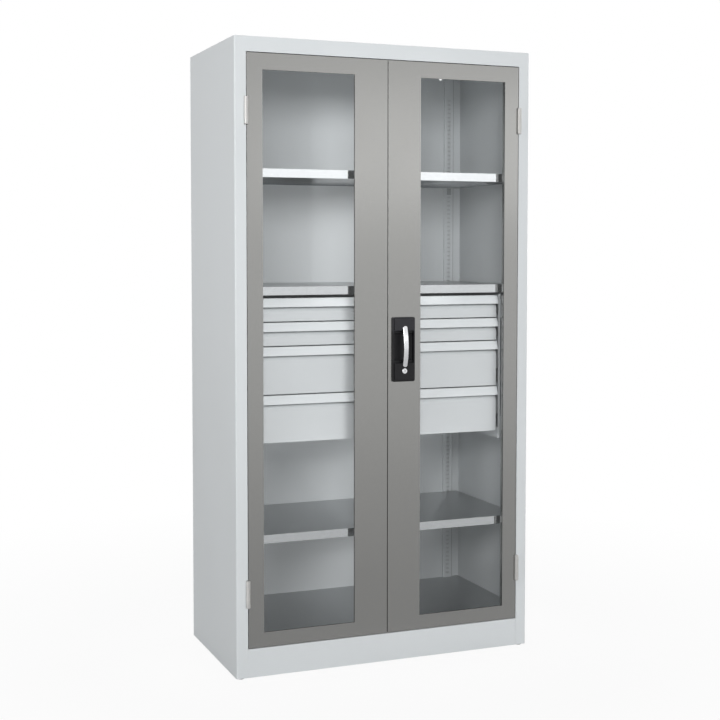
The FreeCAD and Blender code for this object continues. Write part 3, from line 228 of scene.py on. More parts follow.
# %% [markdown]
# ## Glow in the compartments
# A room throws light into the compartments from all sides, and shelves throw it on. Weak panels just
# behind the panes stand for that, one for each window and compartment. Each starts a little above the
# shelf below it. The upper ones lean towards the cabinet's middle, the lower ones upwards. The watts
# follow from a panel's area and from how strongly it shines.

# %% Glow panels behind the panes
GLOW_BEHIND_PANE = 0.0078
GLOW_WIDTH = 0.28
GLOW_AIM_DEPTH = 0.3
GLOW_SHARES = {"left": 0.9, "right": 1.25}
# The shelf below, the rise above that shelf, the panel's height, its shine, its lean inwards and upwards
GLOW_PANELS = {
    "top": ("upper_shelf", 0.011, 0.27, 0.95, 0.3, 0.0),
    "second": ("middle_shelf", 0.011, 0.31, 1.40, 0.3, 0.0),
    "third": ("lower_shelf", 0.011, 0.215, 0.60, 0.1, 0.08),
    "bottom": ("base_deck", 0.032, 0.25, 0.27, 0.0, 0.12),
}

for window, window_share in GLOW_SHARES.items():
    pane_low, pane_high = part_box(f"{window}_pane")
    pane_middle = (pane_low.x + pane_high.x) / 2
    depth = pane_high.y + GLOW_BEHIND_PANE
    for compartment, (shelf, rise, panel_height, shine, inward, upward) in GLOW_PANELS.items():
        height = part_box(shelf)[1].z + rise + panel_height / 2
        lamps.append(soft_box(
            f"{window}_{compartment}_glow",
            place=(pane_middle, depth, height),
            size=(GLOW_WIDTH, panel_height),
            watts=window_share * shine * math.pi * GLOW_WIDTH * panel_height,
            aim=(pane_middle - math.copysign(inward, pane_middle), depth + GLOW_AIM_DEPTH, height + upward),
            mirrored=False,
        ))
print("glow panels:", [lamp.name for lamp in lamps if lamp.name.endswith("_glow")])

# %% [markdown]
# ## Strips at the rear wall
# Below the drawers and below the lower shelf the panels alone would leave a dark band on the rear wall. Two
# narrow strips, close to the wall and nearly as wide as the compartments, light it there.

# %% Strips below the drawers and the lower shelf
STRIP_SIZE = (0.84, 0.03)
STRIP_TO_WALL = 0.11
# The node above, the drop below that node and the watts
STRIPS = {
    "third": ("drawer_4_front", 0.0517, 0.095),
    "bottom": ("lower_shelf", 0.108, 0.085),
}

wall_low, wall_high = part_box("back_panel")
for compartment, (node_above, drop, watts) in STRIPS.items():
    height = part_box(node_above)[0].z - drop
    lamps.append(soft_box(
        f"{compartment}_strip",
        place=(0, wall_low.y - STRIP_TO_WALL, height),
        size=STRIP_SIZE,
        watts=watts,
        aim=(0, wall_low.y, height),
        mirrored=False,
    ))
print("lamps in all:", len(lamps))

# %% [markdown]
# ## Tools for finishes
# Every finish below is a Principled shader with a little disorder in it: noise that is read in Object
# coordinates, which here are metres in the cabinet's own frame, so one grain size is true on every piece.
# Noise can shift the colour, the roughness or the surface itself. Numbers that are the same all over are
# set on the shader directly. Colours are picked as a screen shows them and turned into the linear values
# that shaders use.

# %% Colours
SCREEN_WHITE = 255
BODY_LEVELS = (207, 211, 213)


def screen_colour(*levels):
    """A colour picked on a screen, red, green and blue from 0 to 255, as linear values."""
    linear = Color([level / SCREEN_WHITE for level in levels]).from_srgb_to_scene_linear()
    return (*linear, 1.0)


def tone(colour, factor):
    """The same colour, lighter or darker."""
    return (colour[0] * factor, colour[1] * factor, colour[2] * factor, 1.0)


def shades(colour, factors):
    """A darker and a lighter tone of one colour."""
    return [tone(colour, factor) for factor in factors]


BODY_GREY = screen_colour(*BODY_LEVELS)
print("body grey on a screen:", BODY_LEVELS, "and in a shader:", [round(value, 3) for value in BODY_GREY])

# %% New finishes


def shader_of(finish):
    """The Principled shader of a finish."""
    return finish.node_tree.nodes["Principled BSDF"]


def new_finish(name, metallic=0.0):
    """A material that starts as a plain Principled shader."""
    finish = bpy.data.materials.new(name)
    finish.use_nodes = True
    shader_of(finish).inputs["Metallic"].default_value = metallic
    return finish


painted = set()


def dress(finish, names):
    """Give a finish to nodes of the frame."""
    for name in names:
        nodes[name].material_slots[0].material = finish
    painted.update(names)
    print(finish.name, "on", len(names), "nodes")


print("nodes to dress:", len(nodes))

# %% Noise in metres
NOISE_SPAN = (0.3, 0.7)
EVENLY = (1, 1, 1)


def place_on(finish, stretch=EVENLY):
    """Object coordinates, stretched along the three axes."""
    tree = finish.node_tree
    place = tree.nodes.new("ShaderNodeTexCoord")
    mapping = tree.nodes.new("ShaderNodeMapping")
    mapping.inputs["Scale"].default_value = stretch
    tree.links.new(place.outputs["Object"], mapping.inputs["Vector"])
    return mapping.outputs["Vector"]


def grain(finish, size, detail=2.0, stretch=EVENLY):
    """Soft noise whose spots are about as large as size, in metres."""
    noise = finish.node_tree.nodes.new("ShaderNodeTexNoise")
    noise.inputs["Scale"].default_value = 1 / size
    noise.inputs["Detail"].default_value = detail
    finish.node_tree.links.new(place_on(finish, stretch), noise.inputs["Vector"])
    return noise.outputs["Fac"]


print("most of the noise lies between", *NOISE_SPAN)

# %% What a pattern can shift


def shift_colour(finish, pattern, dark, light):
    """Base colour that wanders between two close colours."""
    ramp = finish.node_tree.nodes.new("ShaderNodeValToRGB")
    for stop, position, colour in zip(ramp.color_ramp.elements, NOISE_SPAN, (dark, light)):
        stop.position = position
        stop.color = colour
    finish.node_tree.links.new(pattern, ramp.inputs["Fac"])
    finish.node_tree.links.new(ramp.outputs["Color"], shader_of(finish).inputs["Base Color"])


def shift_roughness(finish, pattern, low, high):
    """Roughness that wanders between two values."""
    span = finish.node_tree.nodes.new("ShaderNodeMapRange")
    for label, value in zip(("From Min", "From Max", "To Min", "To Max"), (*NOISE_SPAN, low, high)):
        span.inputs[label].default_value = value
    finish.node_tree.links.new(pattern, span.inputs["Value"])
    finish.node_tree.links.new(span.outputs["Result"], shader_of(finish).inputs["Roughness"])


def raise_surface(finish, pattern, height, strength):
    """Small relief: height is in metres."""
    bump = finish.node_tree.nodes.new("ShaderNodeBump")
    bump.inputs["Distance"].default_value = height
    bump.inputs["Strength"].default_value = strength
    finish.node_tree.links.new(pattern, bump.inputs["Height"])
    finish.node_tree.links.new(bump.outputs["Normal"], shader_of(finish).inputs["Normal"])


print("a pattern can shift the colour, the roughness and the surface")

# %% [markdown]
# ## Light grey powder coat
# The carcass and the drawers are powder coated: a dry paint that melts in an oven and flows into a skin
# with a faint orange-peel texture. One noise of about two millimetres gives that skin, and a wide, very
# weak one keeps large sheets from looking printed.

# %% Powder coat of the body and the drawers
CLOUD_SIZE = 0.35
CLOUD_SHADES = (0.985, 1.015)
CLOUD_GLOSS = 0.03
PEEL_SIZE = 0.0022
PEEL_HEIGHT = 0.0001
DRAWER_TONE = 0.94
BODY_COAT = {"colour": BODY_GREY, "roughness": 0.46, "peel": 0.18}
DRAWER_COAT = {"colour": tone(BODY_GREY, DRAWER_TONE), "roughness": 0.42, "peel": 0.14}


def powder_coat(name, colour, roughness, peel):
    """A coat with a wide, weak cloud and a peel of the given strength."""
    finish = new_finish(name)
    cloud = grain(finish, CLOUD_SIZE, detail=1.0)
    shift_colour(finish, cloud, *shades(colour, CLOUD_SHADES))
    shift_roughness(finish, cloud, roughness - CLOUD_GLOSS, roughness + CLOUD_GLOSS)
    raise_surface(finish, grain(finish, PEEL_SIZE), PEEL_HEIGHT, peel)
    return finish


dress(powder_coat("light_grey_coat", **BODY_COAT), [
    "left_side_panel", "right_side_panel", "top_panel", "plinth", "corner_plates", "deck_angles",
    "left_runner_carrier", "right_runner_carrier", "carrier_brackets",
    "front_left_upright", "front_right_upright",
])
trays = [name for name in nodes if name.startswith("drawer_") and name.endswith("_tray")]
dress(powder_coat("drawer_grey_coat", **DRAWER_COAT), trays)

# %% [markdown]
# ## Painted shade at the uprights
# Inside the closed channel of an upright there is deep shade, and it shows through the slots. So behind the
# two uprights the rear wall is painted a shade darker than the coat. Along the outer fold of an upright a
# dark line is painted too, a painted shadow beside the fold. Both places are found from the frame's boxes:
# a mask is 1 inside such a place, and the colour is multiplied by a share there.

# %% Masks by place


def of_kind(sockets, kind):
    """The sockets of one kind: a node that can handle several kinds has its own set for each."""
    return [socket for socket in sockets if socket.type == kind]


def split_place(finish):
    """The X, Y and Z of a point of the piece, in metres."""
    axes = finish.node_tree.nodes.new("ShaderNodeSeparateXYZ")
    finish.node_tree.links.new(place_on(finish), axes.inputs["Vector"])
    return axes.outputs


def tint_where(finish, mask, share):
    """Multiply the base colour by a share where a mask is 1."""
    tree = finish.node_tree
    base_colour = shader_of(finish).inputs["Base Color"]
    mix = tree.nodes.new("ShaderNodeMix")
    mix.data_type = "RGBA"
    mix.blend_type = "MULTIPLY"
    untinted, tint = of_kind(mix.inputs, "RGBA")
    tree.links.new(mask, mix.inputs["Factor"])
    tree.links.new(base_colour.links[0].from_socket, untinted)
    tint.default_value = (share, share, share, 1)
    tree.links.new(of_kind(mix.outputs, "RGBA")[0], base_colour)


upright_low, upright_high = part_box("rear_right_upright")
print("uprights from", round(upright_low.x, 3), "to", round(upright_high.x, 3), "m on both sides")

# %% Rear wall
HOLLOW_SHADE_SHARE = 0.85

wall_coat = powder_coat("rear_wall_coat", **BODY_COAT)
wall_tree = wall_coat.node_tree
wall_axes = split_place(wall_coat)
wall_across = add_math(wall_tree, "ABSOLUTE", wall_axes["X"])
past_inner_edge = add_math(wall_tree, "GREATER_THAN", wall_across, upright_low.x)
before_outer_edge = add_math(wall_tree, "LESS_THAN", wall_across, upright_high.x)
covered = add_math(wall_tree, "MULTIPLY", past_inner_edge, before_outer_edge)
front_side = add_math(wall_tree, "LESS_THAN", wall_axes["Y"], (wall_low.y + wall_high.y) / 2)
# Painted shade: the wall behind the uprights is darker, for the shade inside their channels.
tint_where(wall_coat, add_math(wall_tree, "MULTIPLY", covered, front_side), HOLLOW_SHADE_SHARE)
dress(wall_coat, ["back_panel"])

# %% Rear uprights
FOLD_SHADOW_SHARE = 0.5
FOLD_LINE = 0.0016

upright_coat = powder_coat("upright_coat", **BODY_COAT)
upright_tree = upright_coat.node_tree
upright_across = add_math(upright_tree, "ABSOLUTE", split_place(upright_coat)["X"])
fold_shadow_line = add_math(upright_tree, "GREATER_THAN", upright_across, upright_high.x - FOLD_LINE)
# Painted shadow: a dark line along the outer fold of each rear upright.
tint_where(upright_coat, fold_shadow_line, FOLD_SHADOW_SHARE)
dress(upright_coat, ["rear_left_upright", "rear_right_upright"])

# %% [markdown]
# ## Grip strips
# Every drawer front ends at the top in a grip strip, a profile that stands out from the sheet. It catches
# more light than the sheet, and that light is painted in: the strip is coloured lighter. The strip is the
# only part of a front that lies further out than the sheet's face, so the depth along Y tells the paint
# where the painted light starts. A small margin keeps the sheet's own face out.

# %% Drawer fronts with painted light on the grips
GRIP_DEPTH = 0.013
SHEET_MARGIN = 0.0004
GRIP_PAINTED_LIGHT = 1.16

front_coat = powder_coat("drawer_front_coat", **DRAWER_COAT)
grip_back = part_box("drawer_1_front")[0].y + GRIP_DEPTH - SHEET_MARGIN
painted_light_on_grip = add_math(front_coat.node_tree, "LESS_THAN", split_place(front_coat)["Y"], grip_back)
# Painted light: the grip strips are coloured lighter for the light they catch.
tint_where(front_coat, painted_light_on_grip, GRIP_PAINTED_LIGHT)
fronts = [name for name in nodes if name.startswith("drawer_") and name.endswith("_front")]
dress(front_coat, fronts)

# %% [markdown]
# ## Warm grey metallic paint
# The doors carry a metallic paint: aluminium flakes in a warm grey lacquer. The flakes lie flat and mirror
# the room softly, so the doors are bright where they show the long panel and dark where they show the
# floor. Pigment alone would be evenly grey, so the film is fully metallic, and a very fine noise makes
# single flakes brighter or duller than their neighbours.

# %% Metallic paint of the doors
DOOR_GREY = screen_colour(155, 155, 153)
FLAKE_SIZE = 0.0008
FLAKE_SHADES = (0.94, 1.06)
FILM_CLOUD_SIZE = 0.25
FILM_ROUGHNESS = (0.2, 0.23)
FILM_PEEL_SIZE = 0.0026
FILM_PEEL = 0.06

door_coat = new_finish("warm_grey_metallic", metallic=1.0)
shift_colour(door_coat, grain(door_coat, FLAKE_SIZE, detail=0.0), *shades(DOOR_GREY, FLAKE_SHADES))
shift_roughness(door_coat, grain(door_coat, FILM_CLOUD_SIZE, detail=1.0), *FILM_ROUGHNESS)
raise_surface(door_coat, grain(door_coat, FILM_PEEL_SIZE), PEEL_HEIGHT, FILM_PEEL)
dress(door_coat, ["left_door_skin", "right_door_skin", "left_glazing_beads", "right_glazing_beads"])

# %% [markdown]
# ## Bright galvanised sheet
# The shelves and the deck are left as zinc-coated sheet. Zinc freezes into crystals, the spangle, which
# differ a little in brightness. Voronoi cells are a natural model for crystals that grow until they meet.
# Rolling and folding polish the front edges, while use dulls the broad faces. A face that looks up or down
# is told from an upright edge by its normal, and gets less gloss and a painted shade: its colour is darker.

# %% Galvanised shelves and deck
ZINC_LIGHT = screen_colour(203, 206, 208)
ZINC_SHADES = (0.985, 1.01)
SPANGLE = 0.009
TOP_PAINTED_SHADE = 0.61
EDGE_ROUGHNESS = 0.07
TOP_ROUGHNESS = 0.28

galvanised = new_finish("bright_galvanised", metallic=0.95)
zinc_tree = galvanised.node_tree
crystals = zinc_tree.nodes.new("ShaderNodeTexVoronoi")
crystals.inputs["Scale"].default_value = 1 / SPANGLE
zinc_tree.links.new(place_on(galvanised), crystals.inputs["Vector"])
one_tone = zinc_tree.nodes.new("ShaderNodeSeparateColor")
zinc_tree.links.new(crystals.outputs["Color"], one_tone.inputs["Color"])
shift_colour(galvanised, one_tone.outputs["Red"], *shades(ZINC_LIGHT, ZINC_SHADES))
facing = zinc_tree.nodes.new("ShaderNodeNewGeometry")
facing_axes = zinc_tree.nodes.new("ShaderNodeSeparateXYZ")
zinc_tree.links.new(facing.outputs["Normal"], facing_axes.inputs["Vector"])
level = add_math(zinc_tree, "ABSOLUTE", facing_axes.outputs["Z"])
# Painted shade: faces that look up or down are coloured darker than the upright edges.
tint_where(galvanised, level, TOP_PAINTED_SHADE)
shift_roughness(galvanised, level, EDGE_ROUGHNESS, TOP_ROUGHNESS)
dress(galvanised, ["upper_shelf", "middle_shelf", "lower_shelf", "base_deck"])

# %% [markdown]
# ## Clear panes
# The windows are thin clear sheets. A pane this thin hardly bends light, so it is made as a polished
# surface that is nearly all see-through. Light then passes into the cabinet without the noise that true
# refraction would bring, and the model keeps its clear panes elsewhere too.

# %% Panes
PANE_VEIL = 0.02
PANE_ROUGHNESS = 0.04
PANE_IOR = 1.49
HAZE_SIZE = 0.2
HAZE_COLOURS = (screen_colour(222, 228, 229), screen_colour(232, 237, 238))

pane_clear = new_finish("clear_pane")
pane_shader = shader_of(pane_clear)
pane_shader.inputs["Roughness"].default_value = PANE_ROUGHNESS
pane_shader.inputs["Alpha"].default_value = PANE_VEIL
pane_shader.inputs["IOR"].default_value = PANE_IOR
shift_colour(pane_clear, grain(pane_clear, HAZE_SIZE, detail=1.0), *HAZE_COLOURS)
dress(pane_clear, ["left_pane", "right_pane"])

# %% [markdown]
# ## Plated steel and nickel
# Runners, rods, clips and screws are zinc plated: grey, a little cloudy, softly shiny. The hinges are matt
# nickel, warmer and lighter. Both are metals, so their colour is the colour of their reflection.

# %% Zinc plate and matt nickel
PLATING_SHADES = (0.92, 1.05)
PLATING_SMOOTHER = 0.05
PLATING_ROUGHER = 0.06
PIT_SIZE = 0.0009
PIT_HEIGHT = 0.00004
PIT_STRENGTH = 0.1


def plated(name, colour, roughness, cloud_size):
    """A cloudy plating with fine pits."""
    finish = new_finish(name, metallic=1.0)
    cloud = grain(finish, cloud_size, detail=3.0)
    shift_colour(finish, cloud, *shades(colour, PLATING_SHADES))
    shift_roughness(finish, cloud, roughness - PLATING_SMOOTHER, roughness + PLATING_ROUGHER)
    raise_surface(finish, grain(finish, PIT_SIZE), PIT_HEIGHT, PIT_STRENGTH)
    return finish


zinc_plate = plated("zinc_plate", screen_colour(176, 179, 181), roughness=0.34, cloud_size=0.02)
moving_runners = [name for name in nodes if name.endswith(("_inner_runners", "_mid_runners"))]
dress(zinc_plate, moving_runners + [
    "outer_runners", "upper_lock_rod", "lower_lock_rod", "rod_guides", "lock_cover", "lock_cam",
    "handle_spindle", "shelf_clips", "carrier_screws", "handle_screws",
])
matt_nickel = plated("matt_nickel", screen_colour(204, 203, 201), roughness=0.6, cloud_size=0.012)
dress(matt_nickel, ["frame_hinge_knuckles", "left_door_knuckles", "right_door_knuckles", "hinge_pins"])

# %% [markdown]
# ## Black moulded plastic
# The handle's plate is black plastic from a mould with a fine grain, which breaks up the gloss. Its upper
# block catches more of the room's light than the rest, and that sheen is painted in: there the colour is a
# few times lighter. The small glides under the cabinet are of the same plastic.

# %% Plate of the handle and glides
PLASTIC_BLACK = screen_colour(18, 18, 20)
PLASTIC_SHADES = (0.85, 1.15)
PLASTIC_ROUGHNESS = (0.38, 0.46)
PLASTIC_SHINE = 0.3
MOULD_SIZE = 0.0007
MOULD_HEIGHT = 0.00006
MOULD_STRENGTH = 0.25
RUBBED_SIZE = 0.03
BLOCK_HEIGHT = 0.0449
BLOCK_PAINTED_SHEEN = 3.5

black_plastic = new_finish("black_moulded_plastic")
moulded = grain(black_plastic, MOULD_SIZE, detail=1.0)
shift_colour(black_plastic, moulded, *shades(PLASTIC_BLACK, PLASTIC_SHADES))
shift_roughness(black_plastic, grain(black_plastic, RUBBED_SIZE), *PLASTIC_ROUGHNESS)
raise_surface(black_plastic, moulded, MOULD_HEIGHT, MOULD_STRENGTH)
shader_of(black_plastic).inputs["Specular IOR Level"].default_value = PLASTIC_SHINE
block_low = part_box("handle_plate")[1].z - BLOCK_HEIGHT
painted_sheen_on_block = add_math(black_plastic.node_tree, "GREATER_THAN", split_place(black_plastic)["Z"], block_low)
# Painted sheen: the upper block is coloured a few times lighter.
tint_where(black_plastic, painted_sheen_on_block, BLOCK_PAINTED_SHEEN)
dress(black_plastic, ["handle_plate", "floor_glides"])

# %% [markdown]
# ## Satin metal and nylon
# The bow and the key cylinder are satin metal, brushed along their length: noise that is squeezed across
# and drawn out along gives the brush marks. The keepers of the lock rods are white nylon, slightly mottled.

# %% Bow and key cylinder
SATIN_SILVER = screen_colour(230, 231, 233)
SATIN_SHADES = (0.92, 1.04)
SATIN_ROUGHNESS = (0.16, 0.24)
BRUSH_SIZE = 0.0006
BRUSH_STRETCH = (1, 1, 0.04)
BRUSH_HEIGHT = 0.00002
BRUSH_STRENGTH = 0.15

satin_metal = new_finish("satin_metal", metallic=1.0)
brushed = grain(satin_metal, BRUSH_SIZE, stretch=BRUSH_STRETCH)
shift_colour(satin_metal, brushed, *shades(SATIN_SILVER, SATIN_SHADES))
shift_roughness(satin_metal, brushed, *SATIN_ROUGHNESS)
raise_surface(satin_metal, brushed, BRUSH_HEIGHT, BRUSH_STRENGTH)
dress(satin_metal, ["handle_bow", "cylinder_housing", "key_plug"])

# %% Keepers
NYLON_WHITE = screen_colour(222, 221, 214)
NYLON_SHADES = (0.96, 1.02)
MOTTLE_SIZE = 0.004
MOTTLE_HEIGHT = 0.0001
MOTTLE_STRENGTH = 0.1

nylon = new_finish("white_nylon")
mottle = grain(nylon, MOTTLE_SIZE)
shift_colour(nylon, mottle, *shades(NYLON_WHITE, NYLON_SHADES))
raise_surface(nylon, mottle, MOTTLE_HEIGHT, MOTTLE_STRENGTH)
dress(nylon, ["rod_keepers"])

# %% [markdown]
# ## Tools for small parts that repeat
# Screws and buffers come in sets of the same shape. Geometry Nodes suit them: a tree makes the shape once
# from named sizes, sets a copy on every point of a small mesh and joins the copies. The result is then
# kept as a plain mesh. A set that stands for solids of the frame reads its places from them, so nothing has
# to be typed twice. It takes them in the order of their mesh, so that chance deals the same to each copy in
# every run.

# %% Separate solids of a node
MERGE_DISTANCE = 1e-6


def solids_of(name):
    """The lowest and highest corner of every separate solid in a node, in the order of its mesh."""
    shape = bmesh.new()
    shape.from_mesh(nodes[name].data)
    bmesh.ops.remove_doubles(shape, verts=shape.verts, dist=MERGE_DISTANCE)
    waiting = set(shape.verts)
    boxes = []
    for first in shape.verts:
        if first not in waiting:
            continue
        waiting.remove(first)
        solid = [first]
        for vertex in solid:
            for edge in vertex.link_edges:
                neighbour = edge.other_vert(vertex)
                if neighbour in waiting:
                    waiting.remove(neighbour)
                    solid.append(neighbour)
        columns = list(zip(*(vertex.co for vertex in solid)))
        boxes.append((Vector(map(min, columns)), Vector(map(max, columns))))
    shape.free()
    return boxes


for name in ("carrier_screws", "handle_screws"):
    print(name, "are", len(solids_of(name)), "solids")

# %% Trees and their nodes
NUMBER = "NodeSocketFloat"
FINISH = "NodeSocketMaterial"
SHAPE = "NodeSocketGeometry"


def new_tree(name, inputs):
    """A tree with a geometry input, the named inputs and a geometry output."""
    tree = bpy.data.node_groups.new(name, "GeometryNodeTree")
    tree.interface.new_socket("Places", in_out="INPUT", socket_type=SHAPE)
    for label, kind in inputs.items():
        tree.interface.new_socket(label, in_out="INPUT", socket_type=kind)
    tree.interface.new_socket("Pieces", in_out="OUTPUT", socket_type=SHAPE)
    print(name, "takes", list(inputs))
    return tree, tree.nodes.new("NodeGroupInput").outputs


def add_node(tree, kind, links):
    """A node's output; links gives each socket a number, a vector or another node's output."""
    node = tree.nodes.new(kind)
    for label, value in links.items():
        if isinstance(value, bpy.types.NodeSocket):
            tree.links.new(value, node.inputs[label])
        else:
            node.inputs[label].default_value = value
    return node.outputs[0]


def cut_or_join(tree, operation, shapes, start=None):
    """Cut shapes out of a start, or join them into one closed shape."""
    node = tree.nodes.new("GeometryNodeMeshBoolean")
    node.operation = operation
    for shape in shapes:
        tree.links.new(shape, node.inputs["Mesh 2"])
    if start is not None:
        tree.links.new(start, node.inputs["Mesh 1"])
    return node.outputs["Mesh"]


screw_tree, screw_given = new_tree("cross_slot_screw", {
    "Head Radius": NUMBER, "Head Height": NUMBER, "Shank Radius": NUMBER,
    "Shank Length": NUMBER, "Turn": NUMBER, "Finish": FINISH,
})

# %% Copies on places


def set_on_places(tree, given, shape, turn, seed):
    """Copies of a shape on the places, each spun by chance about its own axis, in one finish."""
    points = add_node(tree, "GeometryNodeMeshToPoints", {"Mesh": given["Places"]})
    heading = add_node(tree, "ShaderNodeCombineXYZ", {"X": turn})
    copies = add_node(tree, "GeometryNodeInstanceOnPoints", {
        "Points": points,
        "Instance": shape,
        "Rotation": add_node(tree, "FunctionNodeEulerToRotation", {"Euler": heading}),
    })
    chance = tree.nodes.new("FunctionNodeRandomValue")
    chance.data_type = "FLOAT"
    most = of_kind(chance.inputs, "VALUE")[1]
    most.default_value = math.pi
    chance.inputs["Seed"].default_value = seed
    spin = add_node(tree, "ShaderNodeCombineXYZ", {"Z": of_kind(chance.outputs, "VALUE")[0]})
    spun = add_node(tree, "GeometryNodeRotateInstances", {
        "Instances": copies,
        "Rotation": add_node(tree, "FunctionNodeEulerToRotation", {"Euler": spin}),
    })
    whole = add_node(tree, "GeometryNodeRealizeInstances", {"Geometry": spun})
    dressed = add_node(tree, "GeometryNodeSetMaterial", {"Geometry": whole, "Material": given["Finish"]})
    result = tree.nodes.new("NodeGroupOutput")
    tree.links.new(dressed, result.inputs["Pieces"])
    print(tree.name, "has", len(tree.nodes), "nodes")


print("every copy is spun by up to half a turn")

# %% A set as a plain mesh


def grow_set(name, tree, places, values):
    """Run a tree on a list of places and keep the result as a plain mesh."""
    points = bpy.data.meshes.new(name + "_places")
    points.from_pydata(places, [], [])
    source = bpy.data.objects.new(name + "_source", points)
    bpy.context.scene.collection.objects.link(source)
    modifier = source.modifiers.new("grow", "NODES")
    modifier.node_group = tree
    for item in tree.interface.items_tree:
        if item.name in values:
            modifier[item.identifier] = values[item.name]
    grown = source.evaluated_get(bpy.context.evaluated_depsgraph_get())
    mesh = bpy.data.meshes.new_from_object(grown)
    source.modifiers.remove(modifier)
    bpy.data.objects.remove(source)
    piece = bpy.data.objects.new(name, mesh)
    bpy.context.scene.collection.objects.link(piece)
    print(name, "has", len(places), "copies and", len(mesh.polygons), "faces")
    return piece


print("a set is grown on points and kept as one mesh")

# %% [markdown]
# ## Cross-slot screws
# Pan-head screws hold the runner carriers to the rear uprights and the handle plate to its door. The frame
# has them as plain discs on pins. Here a cone gives the head its sloping rim, two thin blocks cut the cross
# into it, and a pin makes the shank. No two screws stop at the same turn, so a fixed seed spins each one.

# %% Head of a screw
HEAD_SIDES = 28
CROSS_WIDTH = 0.0011
# As shares of the head's radius and height
RIM_SLOPE = 0.74
CROSS_REACH = 1.15
CROSS_DEPTH = 0.6

rim = add_math(screw_tree, "MULTIPLY", screw_given["Head Radius"], RIM_SLOPE)
head = add_node(screw_tree, "GeometryNodeMeshCone", {
    "Vertices": HEAD_SIDES,
    "Radius Top": rim,
    "Radius Bottom": screw_given["Head Radius"],
    "Depth": screw_given["Head Height"],
})
reach = add_math(screw_tree, "MULTIPLY", screw_given["Head Radius"], CROSS_REACH)
blade_depth = add_math(screw_tree, "MULTIPLY", screw_given["Head Height"], 2 * CROSS_DEPTH)
head_top = add_node(screw_tree, "ShaderNodeCombineXYZ", {"Z": screw_given["Head Height"]})
blades = []
for width, length in ((CROSS_WIDTH, reach), (reach, CROSS_WIDTH)):
    blade_size = add_node(screw_tree, "ShaderNodeCombineXYZ", {"X": width, "Y": length, "Z": blade_depth})
    blade = add_node(screw_tree, "GeometryNodeMeshCube", {"Size": blade_size})
    blades.append(add_node(screw_tree, "GeometryNodeTransform", {
        "Geometry": blade,
        "Translation": head_top,
    }))
slotted_head = cut_or_join(screw_tree, "DIFFERENCE", blades, start=head)
print("blades that cut the cross:", len(blades))

# %% Shank of a screw
SHANK_SIDES = 16
SCREW_SEED = 7

pin = add_node(screw_tree, "GeometryNodeMeshCylinder", {
    "Vertices": SHANK_SIDES,
    "Radius": screw_given["Shank Radius"],
    "Depth": screw_given["Shank Length"],
})
pin_middle = add_math(screw_tree, "DIVIDE", screw_given["Shank Length"], -2)
below = add_node(screw_tree, "ShaderNodeCombineXYZ", {"Z": pin_middle})
shank = add_node(screw_tree, "GeometryNodeTransform", {"Geometry": pin, "Translation": below})
screw = screw_tree.nodes.new("GeometryNodeJoinGeometry")
for shape in (slotted_head, shank):
    screw_tree.links.new(shape, screw.inputs["Geometry"])
set_on_places(screw_tree, screw_given, screw.outputs["Geometry"], screw_given["Turn"], SCREW_SEED)

# %% Screws of the carriers and the handle plate
# The set, the node it stands for, its body, whether the heads look back, head height and shank radius
SCREW_SETS = (
    ("carrier_screw_set", "carrier_screws", "carcass", False, 0.0032, 0.0026),
    ("plate_screw_set", "handle_screws", "right_door", True, 0.0024, 0.0020),
)

for name, stands_for, body, heads_back, head_height, shank_radius in SCREW_SETS:
    boxes = solids_of(stands_for)
    seats = []
    for low, high in boxes:
        seat = high.y - head_height if heads_back else low.y + head_height
        seats.append(((low.x + high.x) / 2, seat, (low.z + high.z) / 2))
    low, high = boxes[0]
    screws = grow_set(name, screw_tree, seats, {
        "Head Radius": (high.z - low.z) / 2,
        "Head Height": head_height,
        "Shank Radius": shank_radius,
        "Shank Length": high.y - low.y - head_height,
        "Turn": -math.pi / 2 if heads_back else math.pi / 2,
        "Finish": zinc_plate,
    })
    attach(screws, body)
    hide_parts(stands_for)

# %% [markdown]
# ## Door buffers
# Steel doors would ring on their stops, so small rubber buffers are pressed into the stop lips and keep the
# leaves off the metal. Each is a domed button on a wider foot: a flat cone joined with a pressed ball, and
# a block under them cuts both off level. They show once the doors are open, and they fill the gap behind
# the leaves all but a hair's breadth.

# %% Rubber
RUBBER_GREY = screen_colour(58, 59, 61)
RUBBER_SHADES = (0.85, 1.15)
RUBBER_ROUGHNESS = (0.52, 0.68)
BLOOM_SIZE = 0.003

rubber = new_finish("grey_rubber")
bloom = grain(rubber, BLOOM_SIZE)
shift_colour(rubber, bloom, *shades(RUBBER_GREY, RUBBER_SHADES))
shift_roughness(rubber, bloom, *RUBBER_ROUGHNESS)
print("finish of the buffers:", rubber.name)

# %% Shape of a buffer
FOOT_SIDES = 24
BALL_SEGMENTS = 20
BALL_RINGS = 12
CUTTER_SIDE = 1.0
BUFFER_SEED = 3
# As shares of the foot's radius and the buffer's height
FOOT_SLOPE = 0.9
FOOT_SHARE = 0.35
BALL_WIDTH = 0.78
BALL_HEIGHT = 0.8
BALL_RISE = 0.2

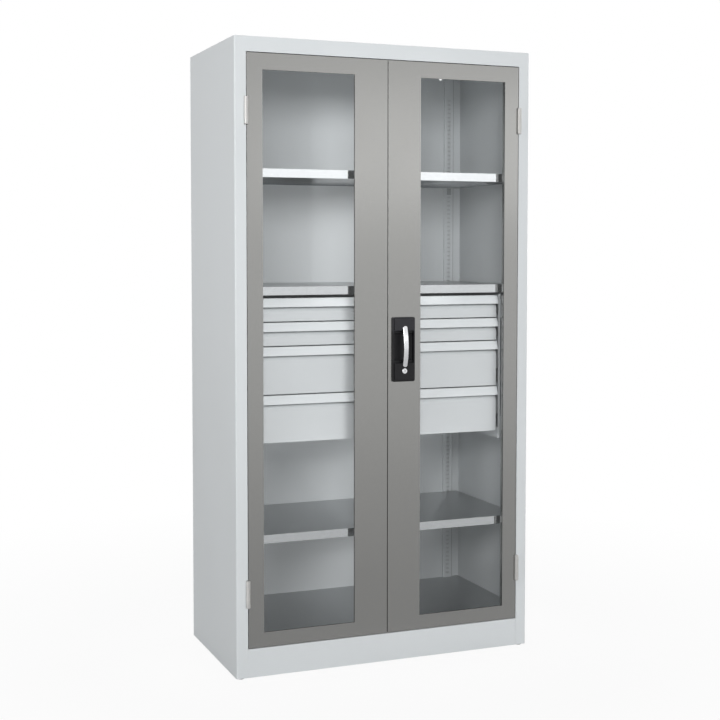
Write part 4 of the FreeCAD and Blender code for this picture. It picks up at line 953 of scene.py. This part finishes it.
buffer_tree, buffer_given = new_tree("domed_buffer", {
    "Foot Radius": NUMBER, "Height": NUMBER, "Finish": FINISH,
})
foot = add_node(buffer_tree, "GeometryNodeMeshCone", {
    "Vertices": FOOT_SIDES,
    "Radius Top": add_math(buffer_tree, "MULTIPLY", buffer_given["Foot Radius"], FOOT_SLOPE),
    "Radius Bottom": buffer_given["Foot Radius"],
    "Depth": add_math(buffer_tree, "MULTIPLY", buffer_given["Height"], FOOT_SHARE),
})
ball = add_node(buffer_tree, "GeometryNodeMeshUVSphere", {
    "Segments": BALL_SEGMENTS, "Rings": BALL_RINGS, "Radius": 1.0,
})
ball_wide = add_math(buffer_tree, "MULTIPLY", buffer_given["Foot Radius"], BALL_WIDTH)
ball_tall = add_math(buffer_tree, "MULTIPLY", buffer_given["Height"], BALL_HEIGHT)
ball_rise = add_math(buffer_tree, "MULTIPLY", buffer_given["Height"], BALL_RISE)
ball_size = add_node(buffer_tree, "ShaderNodeCombineXYZ", {"X": ball_wide, "Y": ball_wide, "Z": ball_tall})
pressed_ball = add_node(buffer_tree, "GeometryNodeTransform", {
    "Geometry": ball,
    "Translation": add_node(buffer_tree, "ShaderNodeCombineXYZ", {"Z": ball_rise}),
    "Scale": ball_size,
})
block = add_node(buffer_tree, "GeometryNodeMeshCube", {"Size": (CUTTER_SIDE, CUTTER_SIDE, CUTTER_SIDE)})
cutter = add_node(buffer_tree, "GeometryNodeTransform", {
    "Geometry": block,
    "Translation": (0, 0, -CUTTER_SIDE / 2),
})
button = cut_or_join(buffer_tree, "UNION", [foot, pressed_ball])
level_button = cut_or_join(buffer_tree, "DIFFERENCE", [cutter], start=button)
set_on_places(buffer_tree, buffer_given, level_button, math.pi / 2, BUFFER_SEED)

# %% Buffers on the stops
DOOR_TO_STOP = 0.005
BUFFER_RADIUS = 0.0045
BUFFER_HEIGHT = 0.0046
BUFFERS_ABOVE = (0.1, 0.4)
BUFFERS_BESIDE = (0.45, 1.0, 1.5)

door_low, door_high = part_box("left_door_skin")
stop_face = door_high.y + DOOR_TO_STOP
buffer_places = []
for side in (-1, 1):
    for x in BUFFERS_ABOVE:
        buffer_places.append((side * x, stop_face, door_high.z - BUFFER_RADIUS))
    for z in BUFFERS_BESIDE:
        buffer_places.append((side * (door_low.x + BUFFER_RADIUS), stop_face, z))
buffers = grow_set("door_buffers", buffer_tree, buffer_places, {
    "Foot Radius": BUFFER_RADIUS, "Height": BUFFER_HEIGHT, "Finish": rubber,
})
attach(buffers, "carcass")

# %% [markdown]
# ## Nodes without a finish
# The last cell lists the nodes of the frame that got no finish.

# %% Nodes without a finish
bare = sorted(set(nodes) - painted)
print("nodes without a finish:", bare)
